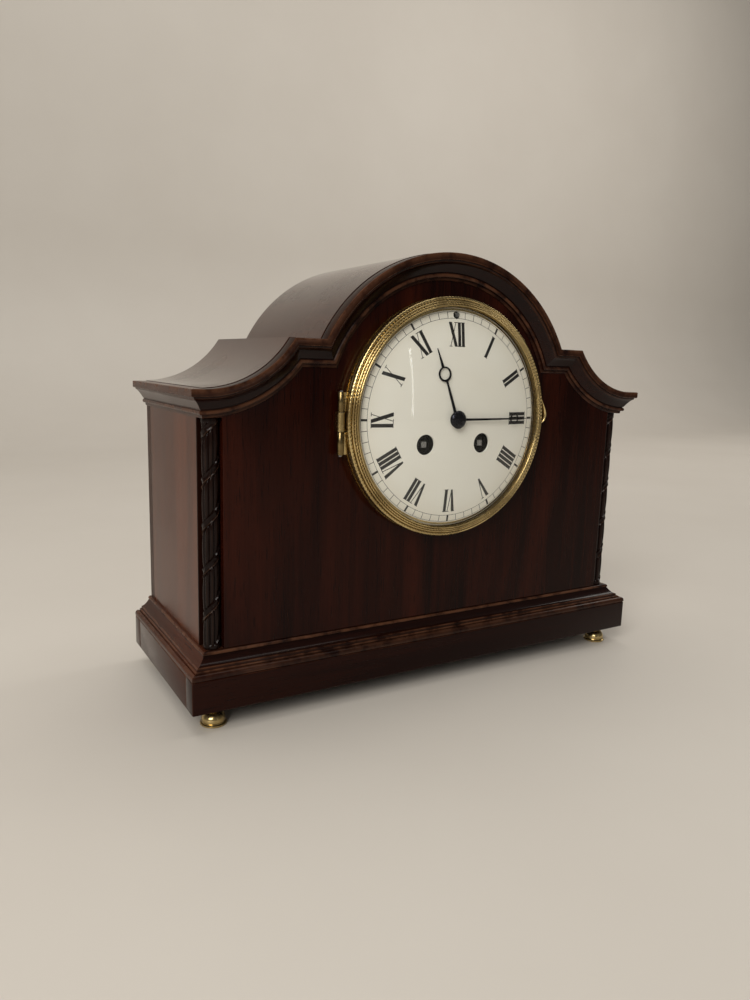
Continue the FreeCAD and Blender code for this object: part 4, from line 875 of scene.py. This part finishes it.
def make_dial():
    steps = [DIAL_RADIUS * k / 40 for k in range(40)]
    profile = [(r, dome(r)) for r in steps]
    profile += [(DIAL_RADIUS - 0.5, dome(DIAL_RADIUS)), (DIAL_RADIUS, dome(DIAL_RADIUS) + 0.5),
                (DIAL_RADIUS, dome(DIAL_RADIUS) + 1.2)]
    profile += [(r, dome(r) + 1.2) for r in reversed(steps)]
    mesh = bmesh.new()
    lathe(mesh, profile, 180, (0.0, 0.0, DIAL_Z))
    dial = finish(mesh, "enamel_dial_dome", "case", ENAMEL, ["enamel_dial"], 40.0)
    cutter = bmesh.new()
    holes = [(x, z, WINDING_RADIUS) for x, z in WINDING] + [(0.0, 0.0, 3.3), (0.0, REGULATOR_RISE, 2.3)]
    for x, z, radius in holes:
        turned = Matrix.Translation((x, dome(0), DIAL_Z + z)) @ Matrix.Rotation(math.pi / 2, 4, "X")
        bmesh.ops.create_cone(cutter, cap_ends=True, segments=64, radius1=radius, radius2=radius,
                              depth=30.0, matrix=turned)
    bmesh.ops.scale(cutter, vec=(MM, MM, MM), verts=cutter.verts)
    data = bpy.data.meshes.new("dial_cutter")
    cutter.to_mesh(data)
    cutter.free()
    tool = bpy.data.objects.new("dial_cutter", data)
    bpy.context.scene.collection.objects.link(tool)
    carve = dial.modifiers.new("holes", "BOOLEAN")
    carve.object, carve.operation, carve.solver = tool, "DIFFERENCE", "EXACT"
    graph = bpy.context.evaluated_depsgraph_get()
    cut = bpy.data.meshes.new_from_object(dial.evaluated_get(graph))
    dial.modifiers.clear()
    dial.data = cut
    bpy.data.objects.remove(tool)
    return dial


make_dial()

# %% [markdown]
# ## Numerals and minute track
# The figures are painted on the enamel, so they are skins a few hundredths of a
# millimetre thick that follow the dome. Each numeral is a few strokes, thick or hairline,
# laid out upright and then turned so that its foot points at the centre, and four is
# written with four strokes, as clockmakers do.

# %% Strokes that follow the dome
INK_LIFT = 0.035


def on_dome(x, z, lift=INK_LIFT):
    """The place on the enamel under a point of the dial's face."""
    return Vector((x, dome(math.hypot(x, z), lift), DIAL_Z + z))


def stroke(mesh, start, end, width, turn=0.0, end_width=None):
    """A straight stroke between two points of the dial's plane."""
    a, b = Vector((*start, 0.0)), Vector((*end, 0.0))
    across = (b - a).normalized().cross(Vector((0, 0, 1)))
    last = width if end_width is None else end_width
    spin = Matrix.Rotation(-turn, 3, "Z")

    def place(row, column):
        middle = a.lerp(b, row / 6)
        half = (width + (last - width) * row / 6) / 2
        flat = spin @ (middle + across * half * (2 * column - 1))
        return on_dome(flat.x, flat.y)

    drape(mesh, 7, 2, place)


def ring_line(mesh, radius, width, steps=240):
    """A thin circle on the enamel."""
    def place(row, column):
        angle, reach = TURN * row / steps, radius + width * (column - 0.5)
        return on_dome(reach * math.cos(angle), reach * math.sin(angle))

    drape(mesh, steps + 1, 2, place)


# %% Roman figures
NUMERALS = ("XII", "I", "II", "III", "IIII", "V", "VI", "VII", "VIII", "IX", "X", "XI")
FOOT, HEAD = 43.6, 57.6
TRACK_INNER, TRACK_OUTER = 60.1, 64.0
THICK, HAIR = 2.15, 0.42
LETTER = {"I": 2.75, "V": 6.2, "X": 6.4}


def letter(mesh, kind, middle, turn):
    """One letter, upright at twelve o'clock, its middle offset sideways."""
    low, high = FOOT, HEAD
    if kind == "I":
        stroke(mesh, (middle, low), (middle, high), THICK, turn)
        for z in (low, high):
            stroke(mesh, (middle - 1.45, z), (middle + 1.45, z), HAIR, turn)
    if kind == "V":
        stroke(mesh, (middle - 1.8, high), (middle + 0.5, low), THICK * 1.05, turn, 1.3)
        stroke(mesh, (middle + 2.3, high), (middle + 0.6, low), HAIR, turn, 0.6)
        for x in (-2.0, 2.2):
            stroke(mesh, (middle + x - 1.2, high), (middle + x + 1.2, high), HAIR, turn)
    if kind == "X":
        stroke(mesh, (middle - 2.0, high), (middle + 2.0, low), THICK, turn)
        stroke(mesh, (middle + 2.0, high), (middle - 2.0, low), HAIR, turn)
        for x in (-2.0, 2.0):
            for z in (low, high):
                stroke(mesh, (middle + x - 1.1, z), (middle + x + 1.1, z), HAIR, turn)


def make_figures():
    mesh = bmesh.new()
    for hour, word in enumerate(NUMERALS):
        turn = TURN * hour / 12
        widths = [LETTER[kind] for kind in word]
        start = -sum(widths) / 2
        for kind, width in zip(word, widths):
            letter(mesh, kind, start + width / 2, turn)
            start += width
    for radius, width in ((TRACK_INNER, 0.24), (TRACK_OUTER, 0.20)):
        ring_line(mesh, radius, width)
    for minute in range(60):
        turn = TURN * minute / 60
        if minute % 5 == 0:
            stroke(mesh, (0.0, TRACK_INNER - 0.2), (0.0, TRACK_OUTER), 1.35, turn)
        else:
            stroke(mesh, (0.0, TRACK_INNER + 0.1), (0.0, TRACK_OUTER - 0.1), 0.34, turn)
    for face in mesh.faces:
        face.normal_update()
        if face.normal.y > 0:
            face.normal_flip()
    return finish(mesh, "dial_figures", "case", INK, (), 60.0, recalc=False)


make_figures()

# %% [markdown]
# ## Hands
# Moon hands are pierced from thin steel: a slender stem, a ring, and a tapering point.
# The outline is a flat curve with a hole in it, filled and given thickness by the curve
# itself, then bent so that it follows the dome and turned to the time.


# %% Pierced hands
def hand_outline(length, ring_at, ring_radius, hub, stem):
    """Outline points of the right half of a hand, from the hub to the tip."""
    gap = math.degrees(math.asin(stem * 1.15 / ring_radius))
    points = arc((0.0, 0.0), hub, 0.0, 90.0 - math.degrees(math.asin(stem * 1.5 / hub)), 12)
    points += [(stem * 1.5, hub + 1.2), (stem * 1.15, (hub + ring_at) / 2),
               (stem * 0.85, ring_at - ring_radius - 0.8)]
    points += arc((0.0, ring_at), ring_radius, -90.0 + gap, 90.0 - gap, 19)
    base = ring_at + ring_radius
    return points + [(stem * 1.5, base + 0.7), (stem * 1.2, base + 2.4),
                     (stem * 0.6, base + (length - base) * 0.6), (0.08, length)]


def make_hand(name, body, node, length, ring_at, ring_radius, hub, stem, bore, front, turn):
    """A pierced hand; stem is half the width of its stem, and front the face it sits on."""
    right = hand_outline(length, ring_at, ring_radius, hub, stem)
    left = [(-x, z) for x, z in reversed(right)]
    curve = bpy.data.curves.new(name, "CURVE")
    curve.dimensions, curve.fill_mode = "2D", "BOTH"
    curve.extrude, curve.bevel_depth, curve.bevel_resolution = 0.22, 0.10, 2
    below = arc((0.0, 0.0), hub, 180.0, 360.0, 24)[1:-1]
    hole = arc((0.0, ring_at + ring_radius * 0.04), ring_radius * 0.81, 0.0, 360.0, 41)[:-1]
    centre = arc((0.0, 0.0), bore, 0.0, 360.0, 33)[:-1]
    for points in (right + left + below, hole, centre):
        spline = curve.splines.new("POLY")
        spline.points.add(len(points) - 1)
        for point, (x, z) in zip(spline.points, points):
            point.co = (x, z, 0.0, 1.0)
        spline.use_cyclic_u = True
    flat = bpy.data.objects.new(name + "_flat", curve)
    data = bpy.data.meshes.new_from_object(flat)
    mesh = bmesh.new()
    mesh.from_mesh(data)
    bpy.data.objects.remove(flat)
    bpy.data.meshes.remove(data)
    bmesh.ops.remove_doubles(mesh, verts=mesh.verts, dist=0.01)
    long_edges = [edge for edge in mesh.edges if edge.calc_length() > 6.0]
    bmesh.ops.subdivide_edges(mesh, edges=long_edges, cuts=4, use_grid_fill=False)
    spin = Matrix.Rotation(-turn, 3, "Z")
    for point in mesh.verts:
        across = spin @ Vector((point.co.x, point.co.y, 0.0))
        radius = math.hypot(across.x, across.y)
        lift = front + radius * radius / (2.0 * DOME) + 0.32 - point.co.z
        point.co = Vector((across.x, lift, DIAL_Z + across.y))
    return finish(mesh, name, body, BLUED, [node], 45.0)


HOUR_FRONT = span("hour_wheel", 1)[0]
MINUTE_FRONT = span("cannon_pinion", 1)[0]
QUARTER_PAST = math.radians(90.0)
PAST_ELEVEN = math.radians(340.5)
make_hand("hour_moon_hand", "hour_hand", "hour_hand", length=44.4, ring_at=28.7, ring_radius=4.4,
          hub=4.7, stem=0.52, bore=2.9, front=HOUR_FRONT, turn=PAST_ELEVEN)
make_hand("minute_moon_hand", "minute_hand", "minute_hand", length=57.0, ring_at=46.0, ring_radius=3.4,
          hub=4.0, stem=0.45, bore=2.0, front=MINUTE_FRONT, turn=QUARTER_PAST)


# %% The domed collet over both hands
def make_collet():
    front = MINUTE_FRONT
    profile = [(0.0, front - 2.3), (1.6, front - 2.2), (3.2, front - 1.8), (4.5, front - 1.15),
               (5.3, front - 0.5), (5.5, front - 0.05), (5.3, front), (0.0, front)]
    mesh = bmesh.new()
    lathe(mesh, profile, 64, (0.0, 0.0, DIAL_Z))
    return finish(mesh, "domed_collet", "minute_hand", BLUED, ["hand_collet"], 60.0)


make_collet()

# %% [markdown]
# ## Finishes for the parts that keep their modelled shape
# Everything else is already the right shape: the panels, the hinge seat, the back door
# and the movement. A part gets a finish by the record's material slot, or by name where
# it differs. The front and side panels and the back ring are welded and their edges
# softened, because a real arris is never quite sharp.

# %% Finishes by name
# front_plate and dial_plate take the near-black plate brass, a painted shade behind the winding holes.
NAMED = {"front_panel": FRONT_WOOD, "side_panels": SIDE_WOOD, "back_door": DOOR_BRASS,
         "back_ring": DOOR_BRASS, "bezel_seat": BRASS, "front_plate": SHADED_PLATE_BRASS, "dial_plate": SHADED_PLATE_BRASS}
BY_SLOT = {"mahogany": BACK_WOOD, "brass": PLATE_BRASS, "bell_metal": BELL, "steel": STEEL,
           "blued_steel": BLUED, "enamel": ENAMEL, "glass": GLASS}
SLOT_OF = {part["node"]: part["material_slot"] for part in frame["record"]["subparts"]}


def soften(item, width):
    """Weld the loose triangles, then round the sharp edges."""
    weld = item.modifiers.new("weld", "WELD")
    weld.merge_threshold = 0.000001
    bevel = item.modifiers.new("arris", "BEVEL")
    bevel.width, bevel.segments, bevel.limit_method = width, 2, "ANGLE"
    bevel.angle_limit = math.radians(40.0)
    bevel.harden_normals = False


def dress_nodes():
    for node, item in frame["nodes"].items():
        material = NAMED.get(node, BY_SLOT[SLOT_OF[node]])
        for number in range(len(item.material_slots)):
            item.material_slots[number].material = material
    for node, width in (("front_panel", 0.0005), ("side_panels", 0.0004), ("back_ring", 0.0003)):
        soften(frame["nodes"][node], width)
    print("nodes dressed:", len(frame["nodes"]))


dress_nodes()

# %% [markdown]
# ## Floor, light and camera
# The clock stands on a plain pale floor that curves up behind it. Polished wood is seen
# mostly by what it mirrors: the pale backdrop gives the left side and the roof their
# sheen, and the room before the clock stays dark, so the front stays deep. The front-facing
# wood is also painted near black and the side-facing wood lighter, as painted shade and
# painted light.


# %% Floor and backdrop
def make_floor():
    plain = Paint("pale_floor")
    mottle = plain.noise(plain.place((3, 3, 3)), 1.0, 4.0, 0.6)
    plain.set(Base_Color=plain.mix(mottle, rgb(0.50, 0.465, 0.42), rgb(0.56, 0.53, 0.485)), Roughness=0.55,
              Normal=plain.bump(plain.noise(plain.place((300, 300, 300)), 1.0), 0.03, 0.0005))
    bend = arc((1.2, 0.5), 0.5, -75.0, 0.0, 6)
    curve = [(-2.2, 0.0), (1.2, 0.0)] + bend + [(1.7, 3.2)]
    mesh = bmesh.new()
    drape(mesh, 2, len(curve), lambda row, column: Vector(((-3.5, 3.5)[row], *curve[column])))
    bmesh.ops.recalc_face_normals(mesh, faces=mesh.faces)
    data = bpy.data.meshes.new("floor")
    mesh.to_mesh(data)
    mesh.free()
    data.shade_smooth()
    data.materials.append(plain.material)
    floor = bpy.data.objects.new("floor", data)
    bpy.context.scene.collection.objects.link(floor)


make_floor()


# %% Lights
def lamp(name, place, target, size, watts, colour=(1.0, 1.0, 1.0)):
    light = bpy.data.lights.new(name, "AREA")
    light.shape, light.size, light.size_y = "RECTANGLE", size[0], size[1]
    light.energy, light.color = watts, colour
    item = bpy.data.objects.new(name, light)
    aim = (Vector(target) - Vector(place)).to_track_quat("-Z", "Y").to_matrix().to_4x4()
    item.matrix_world = Matrix.Translation(place) @ aim
    bpy.context.scene.collection.objects.link(item)


MIDDLE = (0.0, 0.0, 0.14)
lamp("window", (-1.3, -1.1, 1.2), MIDDLE, (1.0, 1.2), 31.0, (1.0, 0.965, 0.91))
lamp("ceiling", (0.0, 0.3, 2.3), MIDDLE, (2.4, 2.0), 30.0, (1.0, 0.96, 0.90))
lamp("right_fill", (1.9, 0.2, 1.5), (1.3, 1.7, 0.5), (1.2, 1.2), 17.0, (1.0, 0.95, 0.88))
lamp("strip", (0.56, -1.9, 0.45), MIDDLE, (0.012, 0.75), 0.30, (1.0, 0.98, 0.95))

world = bpy.data.worlds.new("room")
world.use_nodes = True
world.node_tree.nodes["Background"].inputs["Color"].default_value = (0.80, 0.76, 0.70, 1.0)
world.node_tree.nodes["Background"].inputs["Strength"].default_value = 0.16
bpy.context.scene.world = world
bpy.context.scene.view_settings.view_transform = "Standard"
print("lights:", len(bpy.data.lights))

# %% [markdown]
# The camera stands to the clock's left and a little above its middle, close enough that
# the near corner looms. It looks down by ten degrees and has the slight roll of one held
# in the hand.


# %% Camera
def make_camera():
    lens = bpy.data.cameras.new("camera")
    lens.sensor_width, lens.lens = 36.0, 27.41
    lens.clip_start = 0.01
    item = bpy.data.objects.new("camera", lens)
    yaw, pitch, roll = math.radians(30.82), math.radians(-10.21), math.radians(1.663)
    ahead = Vector((math.sin(yaw) * math.cos(pitch), math.cos(yaw) * math.cos(pitch), math.sin(pitch)))
    level = Vector((math.cos(yaw), -math.sin(yaw), 0.0))
    above = level.cross(ahead)
    right = level * math.cos(roll) + above * math.sin(roll)
    up = above * math.cos(roll) - level * math.sin(roll)
    turned = Matrix((right, up, -ahead)).transposed().to_4x4()
    item.matrix_world = Matrix.Translation((-0.2792, -0.4360, 0.2023)) @ turned
    bpy.context.scene.collection.objects.link(item)
    bpy.context.scene.camera = item


make_camera()
